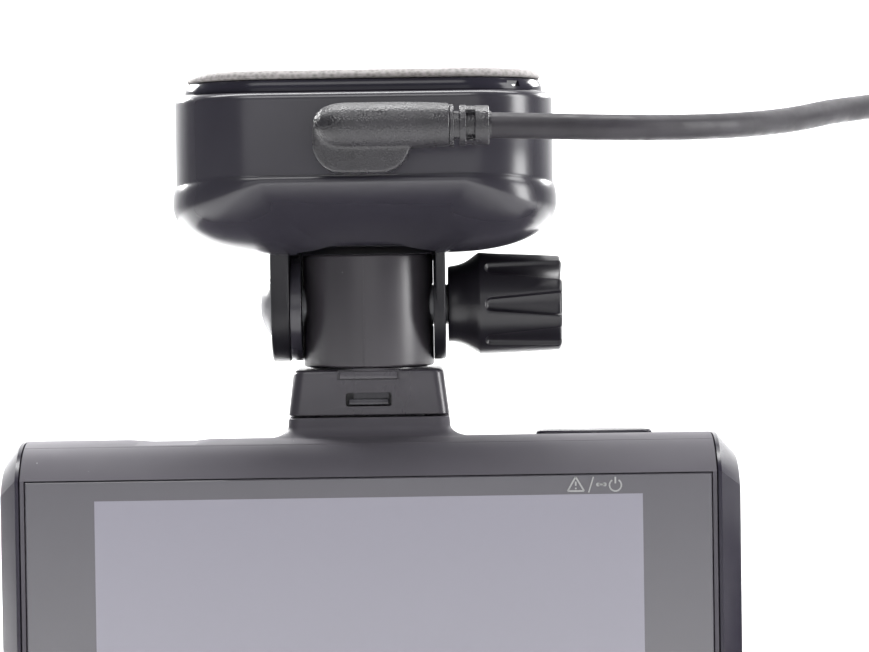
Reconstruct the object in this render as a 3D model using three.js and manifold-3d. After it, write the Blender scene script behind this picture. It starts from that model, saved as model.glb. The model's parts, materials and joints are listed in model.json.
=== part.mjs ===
// Windscreen radar detector with a display: a detector unit hangs from an adhesive base by a
// swivelling foot, a tilting knuckle and a clamp knob, and a 3 m lead feeds it from a car socket.
// Millimetres, +Z up. X runs across the screen, -Y is the driver's side, +Y the road side.
// The origin is under the middle of the unit, at the height of its flat underside.

import * as THREE from 'three';
import { mergeVertices } from 'three/addons/utils/BufferGeometryUtils.js';
import Module from 'manifold-3d';

// ---------------------------------------------------------------- driving dimensions
const GAP = 0.3;                  // clearance between pieces that touch on the real object

const HINGE_Z = 70;               // tilt axis above the underside of the unit
const FLOOR_Z = -HINGE_Z;         // that underside, seen from the tilt axis

const BASE_HALF = 23.5;           // half of the square base's side, below its crease
const BASE_CORNER = 11.2;
const WALL_HALF = 23.1;           // the same for the upright wall above the crease
const BASE_TOP = 25.9;            // top of the base housing above the tilt axis
const BASE_FLOOR = 17.6;          // floor of the hollow inside it
const BASE_WALL = 2;
const CREASE = { front: 16.1, side: 15 };         // lower edge of the upright wall
const BELLY = 6.4;                  // lowest height of the bowl-shaped underside
const BOWL_RIM = { front: 15.9, side: 12.6 };    // height of the bowl's rim
const BOWL_POWER = { front: 1.8, rear: 4, side: 4.4 };   // how late the bowl turns up to its rim
const BEZEL_HALF = 21.75;
const PAD_HALF = 21.7;
const PAD_TOP = 28.75;

const EAR_R = 6.9;                // rounded lower ends of the ears, about the tilt axis
const EAR_LEFT = [-12.05, -9.7];
const EAR_RIGHT = [8.5, 9.75];
const WASHER = { radius: 6.8, from: -9.4, to: -8.6 };
const RECESS_R = 11.2;            // hollow above the knuckle, about the tilt axis

const BARREL_R = 8.2;             // the knuckle is an upright barrel
const BARREL_TOP = 6.4;
const BARREL_BOTTOM = -7.6;
const BOLT_R = 2.5;

const KNOB_START = 10.05;
const KNOB_FLARE = 14;
const KNOB_END = 24.3;
const KNOB_R = 6.46;
const KNOB_FLUTES = 8;

const FOOT_TOP = -7.9;
const FOOT_BOTTOM = -13.5;
const FOOT_HALF_DEPTH = 7.5;
const FOOT_HALF_WIDTH = { bottom: 10, top: 9.3 };
const TONGUE = { halfWidth: 6.8, halfDepth: 4.4, bottom: -21.6 };
const LATCH_Z = [-12.3, -10.8];   // height of the latch inside its window

const UNIT_WIDTH = 90;
const UNIT_TOP = 53.8;            // crown of the top, above the underside
const CROWN = { y: -9, rear: 6, curve: 160 };  // the top falls by (y - CROWN.y) ** 2 / curve
const REAR_TURN = 38;             // height where the upright back starts to lean forward
const UNIT_HALF_DEPTH = 19;
const CASE_HALF = 42.2;           // half width of the case between the side trims
const PARTING_Y = -13.4;          // joint between the screen frame and the rear case
const CASE_WALL = 1.8;
const NECK_TOP = 56.2;
const COVE = { out: 2.6, rise: 1.4 };          // flare of the neck into the top
const SCOOP = { x: -24.95, halfWidth: 6.5, depth: 0.62, ramp: 4.4, front: -12.9, rear: 4 };
const SCREW_SEAT = 15.2;          // Y of the case screws' seats in the back
const GLASS = { halfWidth: 41.6, bottom: 5, top: 49.4, thickness: 1.2 };
const LCD = { halfWidth: 33.2, bottom: 9.6, top: 47 };
const CAMERA = { x: 21, z: 29, radius: 7 };
const SENSOR = { x: -21, z: 30, halfWidth: 14, halfHeight: 9 };
const BUTTON = { x: 28.05, y: -3, halfWidth: 7.25, halfDepth: 2.4, proud: 0.3 };
const CARD = { y: 3.4, z: 39.4, halfWidth: 5.5, halfThickness: 0.5 };

const CORD_R = 1.55;
const JACK = { x: 0, z: 21 };     // centre of the power jack, from the tilt axis
const PLUG_Y = -30.2;             // the right-angle plug's arm runs along X here
const PLUG_ARM_Z = 21.5;
const PLUG_SHIFT = 1.05;          // the plug's arm sits a little to the right of the jack
const COIL = { x: 106, y: 8, radius: 20, halfWidth: 10, height: 12.6 };
const TIE = { angle: 110, width: 6, thickness: 0.8, slack: 1.2 };
const CAR_PLUG = { x: 165.5, y: 8, z: 24.6 };

// Free stretch of the lead from the strain relief to the coil, above the underside of the unit.
const CORD_ROUTE = [
  [15.7, -30.2, 91.35], [20.5, -30.2, 91.25], [27, -29.4, 91.15], [36, -26, 91.2], [44, -20.5, 91.6],
  [52, -12.5, 92.5], [60, -3.5, 93.6], [67, 3, 94], [73.5, 7, 91.8], [77.6, 9, 86], [79.2, 9.6, 77],
  [79.4, 9, 65], [78.8, 7, 50], [77.4, 3.6, 34], [75.6, -1.6, 20], [74.6, -7.4, 10],
  [75.6, -12.8, 4.2], [79, -17.2, 2], [84.4, -19.8, 1.6], [91.4, -20.4, 1.6],
];
// Short stretch from the top of the coil round to the car plug's strain relief.
const TAIL_ROUTE = [
  [127.5, -14.9, 11.3], [136, -12.4, 12.2], [146, -11.4, 13.6], [157, -11, 15.8], [167, -9.6, 18.6],
  [174.5, -5.6, 21.4], [178.3, 0, 23.4], [177.6, 5.2, 24.4], [173, 7.8, 24.6], [168, 8, 24.6],
  [165.8, 8, 24.6],
];

// ---------------------------------------------------------------- materials
const finish = (color, roughness, metalness = 0) =>
  new THREE.MeshStandardMaterial({ color, roughness, metalness });
const softTouch = finish(0x3a3a3e, 0.62);
const satinBlack = finish(0x1c1c20, 0.4);
const glossBlack = finish(0x111114, 0.16);
const knobBlack = finish(0x161619, 0.32);
const gelPad = finish(0xb9b2a8, 0.75);
const screenGlass = finish(0x2b2b2e, 0.06);
const displayGrey = finish(0x9c9aa6, 0.3);
const leadPvc = finish(0x2e2e32, 0.5);
const steel = finish(0x8d8f92, 0.35, 0.9);
const brass = finish(0xb08d4a, 0.35, 0.9);
const gold = finish(0xc9a24a, 0.3, 0.9);
const boardGreen = finish(0x1f5a38, 0.55);
const ceramic = finish(0xc8b48c, 0.6);
const innerBlack = finish(0x202024, 0.7);
const foil = finish(0xa9abb0, 0.4, 0.8);
const tieBlack = finish(0x19191b, 0.9);

// ---------------------------------------------------------------- shape helpers
const wasm = await Module();
wasm.setup();

function toSolid(geometry) {
  const bare = geometry.clone();
  bare.deleteAttribute('normal');
  bare.deleteAttribute('uv');
  const merged = mergeVertices(bare, 1e-4);
  const index = merged.index.array;
  const triVerts = [];
  for (let i = 0; i < index.length; i += 3) {
    const [a, b, c] = index.slice(i, i + 3);
    if (a !== b && b !== c && c !== a) triVerts.push(a, b, c);
  }
  return new wasm.Manifold(new wasm.Mesh({
    numProp: 3,
    vertProperties: new Float32Array(merged.attributes.position.array),
    triVerts: new Uint32Array(triVerts),
  }));
}

function toGeometry(solid) {
  const { vertProperties, triVerts } = solid.getMesh();
  const geometry = new THREE.BufferGeometry();
  geometry.setAttribute('position', new THREE.BufferAttribute(vertProperties, 3));
  geometry.setIndex(new THREE.BufferAttribute(triVerts, 1));
  geometry.computeVertexNormals();
  return geometry;
}

const join = (...pieces) => toGeometry(pieces.map(toSolid).reduce((a, b) => a.add(b)));

const cut = (body, ...tools) =>
  toGeometry(tools.map(toSolid).reduce((a, b) => a.subtract(b), toSolid(body)));

const common = (a, b) => toGeometry(toSolid(a).intersect(toSolid(b)));

function polygon(points) {
  return new THREE.Shape(points.map(([u, v]) => new THREE.Vector2(u, v)));
}

function disc(radius, u = 0, v = 0) {
  return new THREE.Shape().absarc(u, v, radius, 0, 2 * Math.PI, false);
}

function roundedRect(u0, u1, v0, v1, radius) {
  const shape = new THREE.Shape();
  shape.absarc(u1 - radius, v0 + radius, radius, -Math.PI / 2, 0, false);
  shape.absarc(u1 - radius, v1 - radius, radius, 0, Math.PI / 2, false);
  shape.absarc(u0 + radius, v1 - radius, radius, Math.PI / 2, Math.PI, false);
  shape.absarc(u0 + radius, v0 + radius, radius, Math.PI, 1.5 * Math.PI, false);
  shape.closePath();
  return shape;
}

const squareShape = (half, radius) => roundedRect(-half, half, -half, half, radius);

function extrude(shape, depth, curveSegments) {
  return new THREE.ExtrudeGeometry(shape, { depth, curveSegments, bevelEnabled: false });
}

// A slab of the given outline between two planes: the outline is (X, Y), (Y, Z) or (X, Z).
const slabZ = (shape, z0, z1, segments = 6) =>
  extrude(shape, z1 - z0, segments).translate(0, 0, z0);

function slabX(shape, x0, x1, segments = 6) {
  const turn = new THREE.Matrix4().makeBasis(
    new THREE.Vector3(0, 1, 0), new THREE.Vector3(0, 0, 1), new THREE.Vector3(1, 0, 0));
  return extrude(shape, x1 - x0, segments).applyMatrix4(turn).translate(x0, 0, 0);
}

function slabY(shape, y0, y1, segments = 6) {
  const turn = new THREE.Matrix4().makeBasis(
    new THREE.Vector3(1, 0, 0), new THREE.Vector3(0, 0, 1), new THREE.Vector3(0, -1, 0));
  return extrude(shape, y1 - y0, segments).applyMatrix4(turn).translate(0, y1, 0);
}

function box(x0, x1, y0, y1, z0, z1) {
  return new THREE.BoxGeometry(x1 - x0, y1 - y0, z1 - z0)
    .translate((x0 + x1) / 2, (y0 + y1) / 2, (z0 + z1) / 2);
}

// A turned solid about Z from (radius, height) points listed from the bottom up.
function turned(profile, segments = 32) {
  const points = profile.map(([r, z]) => new THREE.Vector2(r, z));
  return new THREE.LatheGeometry(points, segments).rotateX(Math.PI / 2);
}

const turnedX = (profile, segments = 32) => turned(profile, segments).rotateY(Math.PI / 2);

// A closed skin over rings of points, each ring anticlockwise from above, from the lowest up.
function skin(rings) {
  const count = rings[0].length;
  const positions = rings.flat().flat();
  const index = [];
  for (let i = 0; i + 1 < rings.length; i += 1) {
    for (let j = 0; j < count; j += 1) {
      const a = i * count + j;
      const b = i * count + (j + 1) % count;
      index.push(a, b, b + count, a, b + count, a + count);
    }
  }
  const last = (rings.length - 1) * count;
  for (let j = 1; j + 1 < count; j += 1) {
    index.push(0, j + 1, j, last, last + j, last + j + 1);
  }
  const geometry = new THREE.BufferGeometry();
  geometry.setAttribute('position', new THREE.Float32BufferAttribute(positions, 3));
  geometry.setIndex(index);
  geometry.computeVertexNormals();
  return geometry;
}

function tube(points, radius, steps) {
  const path = new THREE.CatmullRomCurve3(points.map((p) => new THREE.Vector3(...p)));
  return new THREE.ExtrudeGeometry(disc(radius), {
    steps, curveSegments: 4, bevelEnabled: false, extrudePath: path,
  });
}

function add(parent, name, geometry, material) {
  const mesh = new THREE.Mesh(geometry, material);
  mesh.name = name;
  parent.add(mesh);
  return mesh;
}

// ---------------------------------------------------------------- the base on the windscreen
// Heights here are measured from the tilt axis.

function baseOutline(half, radius, perCorner = 12) {
  const points = [];
  for (let corner = 0; corner < 4; corner += 1) {
    for (let i = 0; i <= perCorner; i += 1) {
      const a = (Math.PI / 2) * (corner + i / perCorner);
      const centre = (Math.PI / 2) * corner + Math.PI / 4;
      const offset = (half - radius) * Math.SQRT2;
      points.push([
        offset * Math.cos(centre) + radius * Math.cos(a),
        offset * Math.sin(centre) + radius * Math.sin(a),
      ]);
    }
  }
  return points;
}

const smoothStep = (x) => {
  const t = Math.min(1, Math.max(0, x));
  return t * t * (3 - 2 * t);
};

// Underside height: a bowl that rises early towards the front edge and late towards the sides
// and the rear. s is 0 at the middle and 1 at the outline.
function undersideHeight(x, y, s) {
  const frontness = Math.atan2(Math.abs(y), Math.abs(x)) / (Math.PI / 2);
  const rim = BOWL_RIM.side + (BOWL_RIM.front - BOWL_RIM.side) * smoothStep((frontness - 0.45) / 0.35);
  const late = 1 - Math.sqrt(Math.max(0, 1 - s ** BOWL_POWER.side));
  const early = s ** (y < 0 ? BOWL_POWER.front : BOWL_POWER.rear);
  return BELLY + (rim - BELLY) * (late + (early - late) * smoothStep((frontness - 0.42) / 0.38));
}

// The crease is lower along the sides than under the front and back walls.
function creaseHeight(y) {
  const straight = BASE_HALF - BASE_CORNER;
  const part = Math.max(0, Math.abs(y) - straight) / BASE_CORNER;
  return CREASE.side + (CREASE.front - CREASE.side) * part ** 2;
}

function earShape() {
  const shape = new THREE.Shape();
  shape.absarc(0, 0, EAR_R, Math.PI, 2 * Math.PI, false);
  shape.lineTo(EAR_R + 0.7, 8.4);
  shape.lineTo(EAR_R + 0.7, 10.5);
  shape.lineTo(-EAR_R - 0.7, 10.5);
  shape.lineTo(-EAR_R - 0.7, 8.4);
  shape.closePath();
  return shape;
}

function baseHousing() {
  const outline = baseOutline(BASE_HALF, BASE_CORNER);
  const rings = [0.12, 0.35, 0.55, 0.7, 0.8, 0.87, 0.91, 0.945, 0.97, 0.988, 0.997, 1].map((s) =>
    outline.map(([x, y]) => [x * s, y * s, undersideHeight(x * s, y * s, s)]));
  const step = BASE_HALF - WALL_HALF;
  const wall = baseOutline(WALL_HALF, BASE_CORNER - step);
  rings.push(wall.map(([x, y]) => [x, y, creaseHeight(y)]), wall.map(([x, y]) => [x, y, BASE_TOP - 0.8]));
  rings.push(baseOutline(WALL_HALF - 0.8, BASE_CORNER - step - 0.8).map(([x, y]) => [x, y, BASE_TOP]));
  const body = join(skin(rings), slabX(earShape(), ...EAR_LEFT, 10), slabX(earShape(), ...EAR_RIGHT, 10));
  const inside = WALL_HALF - BASE_WALL;
  const hollow = slabZ(squareShape(inside, BASE_CORNER - BASE_WALL), BASE_FLOOR, BASE_TOP + 1);
  const recess = slabX(disc(RECESS_R), WASHER.to, EAR_RIGHT[0], 16);
  const washerSeat = slabX(disc(WASHER.radius + GAP), EAR_LEFT[1], WASHER.to + GAP, 12);
  const boltHole = slabX(disc(BOLT_R + GAP), -20, 20, 8);
  const jackHole = slabY(disc(3.1, JACK.x, JACK.z), -30, -20, 8);
  const hollowed = cut(body, hollow, recess, washerSeat, boltHole, jackHole);
  const bosses = baseScrewPlaces().map(([x, y]) =>
    slabZ(disc(2.5, x, y), BASE_FLOOR - 1, BASE_TOP - 1.2, 6));
  const pilots = baseScrewPlaces().map(([x, y]) => slabZ(disc(1.4, x, y), BASE_FLOOR + 1, BASE_TOP + 1, 6));
  return cut(join(hollowed, ...bosses), ...pilots);
}

function baseScrewPlaces() {
  const reach = 17;
  return [[reach, reach], [-reach, reach], [-reach, -reach], [reach, -reach]];
}

function bezel() {
  const plate = slabZ(squareShape(BEZEL_HALF, 9.8), BASE_TOP + GAP, PAD_TOP - 1.35);
  const holes = baseScrewPlaces().map(([x, y]) => slabZ(disc(2.3, x, y), 0, 40, 6));
  return cut(plate, ...holes);
}

function windscreenPad() {
  return slabZ(squareShape(PAD_HALF, 9.9), PAD_TOP - 1.05, PAD_TOP);
}

function baseScrew(x, y) {
  const screw = turned([[0, BASE_TOP - 6], [1.1, BASE_TOP - 6], [1.1, BASE_TOP - 0.6], [2, BASE_TOP - 0.6],
    [2, PAD_TOP - 1.6], [0, PAD_TOP - 1.6]], 16);
  return screw.translate(x, y, 0);
}

function pivotBolt() {
  const head = EAR_LEFT[0] - GAP;
  return turnedX([[0, head - 1.4], [1.4, head - 1.25], [2.7, head - 0.85], [3.5, head - 0.3], [3.8, head],
    [BOLT_R, head], [BOLT_R, 18], [0, 18]], 32);
}

function frictionWasher() {
  const hole = BOLT_R + GAP;
  const { radius, from, to } = WASHER;
  return turnedX([[hole, from], [radius, from], [radius, to], [hole, to], [hole, from]], 32);
}

function dcJack() {
  const body = box(JACK.x - 5.2, JACK.x + 5.2, -20.8, -10.5, JACK.z - 3.1, JACK.z + 3.1);
  return cut(body, slabY(disc(2.9, JACK.x, JACK.z), -22, -12, 8));
}

function powerPlug() {
  const arm = turnedX([[0, -6.8], [1.5, -6.4], [2.5, -5.2], [2.8, -3.6], [2.8, 4], [2.65, 9.4],
    [0, 9.4]], 24)
    .translate(PLUG_SHIFT, PLUG_Y, PLUG_ARM_Z);
  const head = slabY(roundedRect(-5.9, 5.9, 16.3, 24.3, 3.3), PLUG_Y - 2.1, -WALL_HALF - GAP);
  return join(arm, head);
}

function plugBarrel() {
  const y0 = -WALL_HALF + GAP;
  const sleeve = slabY(disc(2.55, JACK.x, JACK.z), y0, -12.6, 8);
  return cut(sleeve, slabY(disc(1.1, JACK.x, JACK.z), y0 + 2, -12, 6));
}

function strainRelief() {
  return turnedX([[0, 9.7], [2.45, 9.7], [2.2, 10.3], [2.2, 10.8], [2.45, 11.2], [2.4, 12], [1.9, 12.1],
    [1.9, 12.8], [2.4, 12.9], [2.35, 14], [2.1, 14.3], [0, 14.3]], 24)
    .translate(PLUG_SHIFT, PLUG_Y, PLUG_ARM_Z - 0.1);
}

const base = new THREE.Group();
base.position.z = HINGE_Z;
add(base, 'windscreen_pad', windscreenPad(), gelPad);
add(base, 'base_bezel', bezel(), glossBlack);
add(base, 'base_housing', baseHousing(), satinBlack);
baseScrewPlaces().forEach(([x, y], i) => add(base, `base_screw_${i + 1}`, baseScrew(x, y), steel));
add(base, 'base_board', box(-14, 14, -9.8, 14, BASE_FLOOR + GAP, BASE_FLOOR + 1.5), boardGreen);
add(base, 'gps_antenna', box(-9, 9, -7, 11, BASE_FLOOR + 1.8, BASE_FLOOR + 5.8), ceramic);
add(base, 'dc_jack', dcJack(), innerBlack);
add(base, 'pivot_bolt', pivotBolt(), steel);
add(base, 'friction_washer', frictionWasher(), satinBlack);
add(base, 'power_plug', powerPlug(), leadPvc);
add(base, 'power_plug_barrel', plugBarrel(), steel);
add(base, 'strain_relief', strainRelief(), leadPvc);

// ---------------------------------------------------------------- clamp knob
function clampKnob() {
  const body = turnedX([[0, KNOB_START], [4.8, KNOB_START], [5, 11.4], [5.55, 12.6], [KNOB_R, KNOB_FLARE],
    [6.1, KNOB_END - 0.6], [5.5, KNOB_END], [0, KNOB_END]], 48);
  const flutes = [];
  for (let i = 0; i < KNOB_FLUTES; i += 1) {
    const flute = new THREE.CylinderGeometry(1.5, 1, KNOB_END - KNOB_FLARE, 10);
    flute.rotateZ(-Math.PI / 2);
    flute.translate((KNOB_FLARE + KNOB_END) / 2 + 1.4, 0, 6.9);
    flute.rotateX(((i + 0.5) * 2 * Math.PI) / KNOB_FLUTES);
    flutes.push(flute);
  }
  return cut(body, ...flutes, slabX(disc(4.3), KNOB_START - 1, 18.4, 8));
}

function knobNut() {
  const hole = BOLT_R + GAP;
  return turnedX([[hole, 11], [4, 11], [4, 18], [hole, 18], [hole, 11]], 24);
}

const knob = new THREE.Group();
knob.position.z = HINGE_Z;
add(knob, 'clamp_knob', clampKnob(), knobBlack);
add(knob, 'knob_nut', knobNut(), brass);

// ---------------------------------------------------------------- knuckle
function knuckleBarrel() {
  const edge = 0.5;
  const body = turned([[0, BARREL_BOTTOM], [BARREL_R - edge, BARREL_BOTTOM],
    [BARREL_R, BARREL_BOTTOM + edge],
    [BARREL_R, BARREL_TOP - edge], [BARREL_R - edge, BARREL_TOP], [0, BARREL_TOP]], 48);
  const pivotBore = slabX(disc(BOLT_R + GAP), -10, 10, 8);
  const screwBore = slabZ(disc(1.8), BARREL_BOTTOM - 1, BARREL_BOTTOM + 4.4, 6);
  return cut(body, pivotBore, screwBore);
}

function swivelScrew() {
  return turned([[0, -13.2], [3.1, -13.2], [3.1, -11.6], [1.5, -11.6], [1.5, -3.6], [0, -3.6]], 24);
}

const knuckle = new THREE.Group();
knuckle.position.z = HINGE_Z;
add(knuckle, 'knuckle', knuckleBarrel(), satinBlack);
add(knuckle, 'swivel_screw', swivelScrew(), steel);

// ---------------------------------------------------------------- foot that swivels and latches
function footSection(halfWidth, z) {
  const radius = 1.4;
  const centres = [[1, 1, 0], [-1, 1, 1], [-1, -1, 2], [1, -1, 3]];
  return centres.flatMap(([sx, sy, quarter]) => [0, 0.5, 1].map((part) => {
    const a = (quarter + part) * (Math.PI / 2);
    return [sx * (halfWidth - radius) + radius * Math.cos(a),
      sy * (FOOT_HALF_DEPTH - radius) + radius * Math.sin(a), z];
  }));
}

function footBody() {
  const { bottom: widest, top: narrowest } = FOOT_HALF_WIDTH;
  const block = skin([footSection(widest, FOOT_BOTTOM), footSection(narrowest, FOOT_TOP)]);
  const { halfWidth, halfDepth, bottom } = TONGUE;
  const tongue = box(-halfWidth, halfWidth, -halfDepth, halfDepth, bottom, FOOT_BOTTOM + 0.5);
  const [z0, z1] = LATCH_Z;
  const window = box(-2.8, 2.8, -9, -4.9, z0 - GAP, z1 + GAP);
  const shaft = slabZ(disc(1.9), -12, -7, 6);
  const screwBore = slabZ(disc(3.5), bottom - 1, -11.3, 8);
  return cut(join(block, tongue), window, shaft, screwBore);
}

function latch() {
  const [z0, z1] = LATCH_Z;
  return box(-2.5, 2.5, -7, -6.3, z0, z1);
}

const foot = new THREE.Group();
foot.position.z = HINGE_Z;
add(foot, 'foot', footBody(), glossBlack);
add(foot, 'release_latch', latch(), satinBlack);
add(foot, 'foot_contacts', box(-4, 4, TONGUE.halfDepth + GAP, TONGUE.halfDepth + 0.6, -20.6, -15), gold);

// ---------------------------------------------------------------- detector unit
// Heights from here on are measured from the underside of the unit.

// Side view (Y, Z) of the unit: a rounded edge over the screen, a crowned top and a back that
// leans forward. topHeight is the crown's height at a given Y.
const topHeight = (y) => UNIT_TOP - (y - CROWN.y) ** 2 / CROWN.curve;

function unitProfile(inset = 0) {
  const d = UNIT_HALF_DEPTH - inset;
  const top = UNIT_TOP - inset;
  const rearTop = topHeight(CROWN.rear) - inset;
  const rearFall = 2 * (CROWN.rear - CROWN.y) / CROWN.curve;
  const shape = new THREE.Shape();
  shape.moveTo(-d + 3.5, inset);
  shape.lineTo(d - 3, inset);
  shape.lineTo(d, inset + 3);
  shape.lineTo(d, REAR_TURN);
  shape.quadraticCurveTo(d, rearTop - rearFall * (d - CROWN.rear), CROWN.rear, rearTop);
  shape.quadraticCurveTo((CROWN.rear + CROWN.y) / 2, top, CROWN.y, top);
  shape.quadraticCurveTo(-15.6 + inset * 0.7, top, -d, UNIT_TOP - 4.25 - inset * 0.4);
  shape.lineTo(-d, 3.4 + inset * 0.4);
  shape.closePath();
  return shape;
}

const unitSlab = (x0, x1, inset) => slabX(unitProfile(inset), x0, x1, 6);

function screenFrame() {
  const body = unitSlab(-CASE_HALF, CASE_HALF, 0);
  const ledge = box(-60, 60, -30, -16.8, -10, 80);
  const inner = cut(unitSlab(-CASE_HALF + CASE_WALL, CASE_HALF - CASE_WALL, CASE_WALL), ledge);
  const behind = box(-60, 60, PARTING_Y - GAP / 2, 40, -10, 80);
  const pocketHalf = GLASS.halfWidth + GAP;
  const pocket = box(-pocketHalf, pocketHalf, -30, -UNIT_HALF_DEPTH + GLASS.thickness + GAP,
    GLASS.bottom - GAP, GLASS.top + GAP);
  const opening = box(-36, 36, -30, 0, 7, 48.4);
  const frame = cut(body, behind, inner, pocket, opening);
  const bosses = unitScrewPlaces().map(([x, z]) => slabY(disc(2, x, z), -17.2, PARTING_Y - GAP / 2));
  const pilots = unitScrewPlaces().map(([x, z]) => slabY(disc(1.3, x, z), -16.7, 0));
  return cut(join(frame, ...bosses), ...pilots);
}

// The neck flares out of the case's top with a cove all round and has a pocket for the tongue.
function neck() {
  const flare = (out, rise) => footSection(FOOT_HALF_WIDTH.bottom + 0.1 + out, 0).map(([x, y]) => {
    const spread = y * (1 + (out * 0.9) / FOOT_HALF_DEPTH);
    return [x, spread, topHeight(spread) + rise];
  });
  const rings = [flare(COVE.out, -2), flare(COVE.out, -0.4)];
  for (let i = 1; i <= 4; i += 1) {
    const a = (i / 4) * (Math.PI / 2);
    rings.push(flare(COVE.out * (1 - Math.sin(a)), COVE.rise * (1 - Math.cos(a)) - 0.2));
  }
  rings.push(footSection(FOOT_HALF_WIDTH.bottom, NECK_TOP));
  return skin(rings);
}

// A shallow dip across the top, smooth at both ends: its outline is (X, Z).
function scoop() {
  const { x, halfWidth, depth, ramp, front, rear } = SCOOP;
  const points = [];
  for (let i = 0; i <= 16; i += 1) {
    const u = -halfWidth + (2 * halfWidth * i) / 16;
    const part = Math.min(1, (halfWidth - Math.abs(u)) / ramp);
    points.push([x + u, UNIT_TOP - depth * (0.5 - 0.5 * Math.cos(Math.PI * part))]);
  }
  points.push([x + halfWidth + 0.1, UNIT_TOP + 1], [x - halfWidth - 0.1, UNIT_TOP + 1]);
  return slabY(polygon(points), front, rear);
}

function rearCase() {
  const body = unitSlab(-CASE_HALF, CASE_HALF, 0);
  const inner = unitSlab(-CASE_HALF + CASE_WALL, CASE_HALF - CASE_WALL, CASE_WALL);
  const front = box(-60, 60, -40, PARTING_Y + GAP / 2, -10, 80);
  const withinCase = unitSlab(-CASE_HALF, CASE_HALF, 0.4);
  const bosses = unitScrewPlaces().map(([x, z]) => common(slabY(disc(3.2, x, z), -8, 20), withinCase));
  const shell = join(cut(body, front, inner), neck(), ...bosses);
  const pocket = box(-TONGUE.halfWidth - 0.4, TONGUE.halfWidth + 0.4, -TONGUE.halfDepth - 0.4,
    TONGUE.halfDepth + 1, 48, 60);
  const { x, y, halfWidth, halfDepth } = BUTTON;
  const buttonHole = box(x - halfWidth - GAP, x + halfWidth + GAP, y - halfDepth - GAP,
    y + halfDepth + GAP, 50, 60);
  const lensHole = slabY(disc(CAMERA.radius + GAP, CAMERA.x, CAMERA.z), 10, 30, 10);
  const { halfWidth: w, halfHeight: h } = SENSOR;
  const sensorHole = slabY(roundedRect(SENSOR.x - w, SENSOR.x + w, SENSOR.z - h, SENSOR.z + h, 3), 15, 30);
  const cardSlot = box(36, 50, CARD.y - 6, CARD.y + 6, CARD.z - 1, CARD.z + 1);
  const grille = [0, 1, 2, 3, 4].map((i) => box(-7, 7, 15, 30, 8.3 + 2.2 * i, 9.3 + 2.2 * i));
  const screws = unitScrewPlaces().flatMap(([sx, sz]) => [
    slabY(disc(1.3, sx, sz), -20, 30), slabY(disc(2.4, sx, sz), SCREW_SEAT - GAP, 30)]);
  return cut(shell, pocket, buttonHole, scoop(), lensHole, sensorHole, cardSlot, ...grille, ...screws);
}

function unitScrewPlaces() {
  return [[37, 7], [-37, 7], [-37, 45.2], [37, 45.2]];
}

function unitScrew(x, z) {
  const length = SCREW_SEAT + 16.4;
  const screw = turned([[0, -length], [1, -length], [1, 0], [2.1, 0], [2.1, 0.9], [0, 0.9]], 16);
  return screw.rotateX(-Math.PI / 2).translate(x, SCREW_SEAT, z);
}

function sideTrim(side) {
  const x0 = CASE_HALF + GAP;
  const x1 = UNIT_WIDTH / 2;
  const slab = side > 0 ? unitSlab(x0, x1, 0) : unitSlab(-x1, -x0, 0);
  const tilt = Math.atan2(2.2, 4);
  const shave = box(-10, 10, -40, 40, 0, 10).rotateY(side * (Math.PI / 2 - tilt))
    .translate(side * x1, 0, UNIT_TOP - 4);
  const slot = box(30, 60, CARD.y - 6, CARD.y + 6, CARD.z - 1.15, CARD.z + 1.15);
  return side > 0 ? cut(slab, shave, slot) : cut(slab, shave);
}

function screenPane() {
  const y0 = -UNIT_HALF_DEPTH;
  return box(-GLASS.halfWidth, GLASS.halfWidth, y0, y0 + GLASS.thickness, GLASS.bottom, GLASS.top);
}

// Radar horn: a flared metal mouth that faces the road, on a short waveguide.
function radarHorn() {
  const outer = hornSkin(12, 7.4, 14.6, 4.6, 2.6, 0);
  const inner = hornSkin(11.2, 6.6, 14.9, 3.8, 1.8, 1.4);
  return cut(outer, inner);
}

function hornSkin(mouthHalfX, mouthHalfZ, mouthY, throatHalfX, throatHalfZ, floorShift) {
  const ring = (hx, hz, y) => [[hx, hz], [hx, -hz], [-hx, -hz], [-hx, hz]].map(([x, z]) =>
    [SENSOR.x + x, y, SENSOR.z + z]);
  return skin([ring(throatHalfX, throatHalfZ, -8 + floorShift), ring(throatHalfX, throatHalfZ, -2),
    ring(mouthHalfX, mouthHalfZ, mouthY)]);
}

function cameraLens() {
  return slabY(disc(CAMERA.radius, CAMERA.x, CAMERA.z), 8, 21.2, 12);
}

function speaker() {
  return turned([[0, 0], [6, 0], [6, 1.6], [8.6, 3], [8.6, 4.6], [7.8, 4.6], [4, 3.2], [0, 3.8]], 28)
    .rotateX(-Math.PI / 2).translate(0, 11.6, 13.2);
}

function topButton() {
  const { x, y, halfWidth, halfDepth, proud } = BUTTON;
  const outline = roundedRect(x - halfWidth, x + halfWidth, y - halfDepth, y + halfDepth, 1);
  return slabZ(outline, 49.6, UNIT_TOP + proud);
}

function cardSocket() {
  const { y, z } = CARD;
  const shell = box(24, 37.8, y - 6.6, y + 6.6, z - 1.6, z + 1.6);
  return cut(shell, box(25.2, 50, y - 5.8, y + 5.8, z - 0.8, z + 0.8));
}

function memoryCard() {
  const { y, z, halfWidth, halfThickness } = CARD;
  return box(29, 44.4, y - halfWidth, y + halfWidth, z - halfThickness, z + halfThickness);
}

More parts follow.
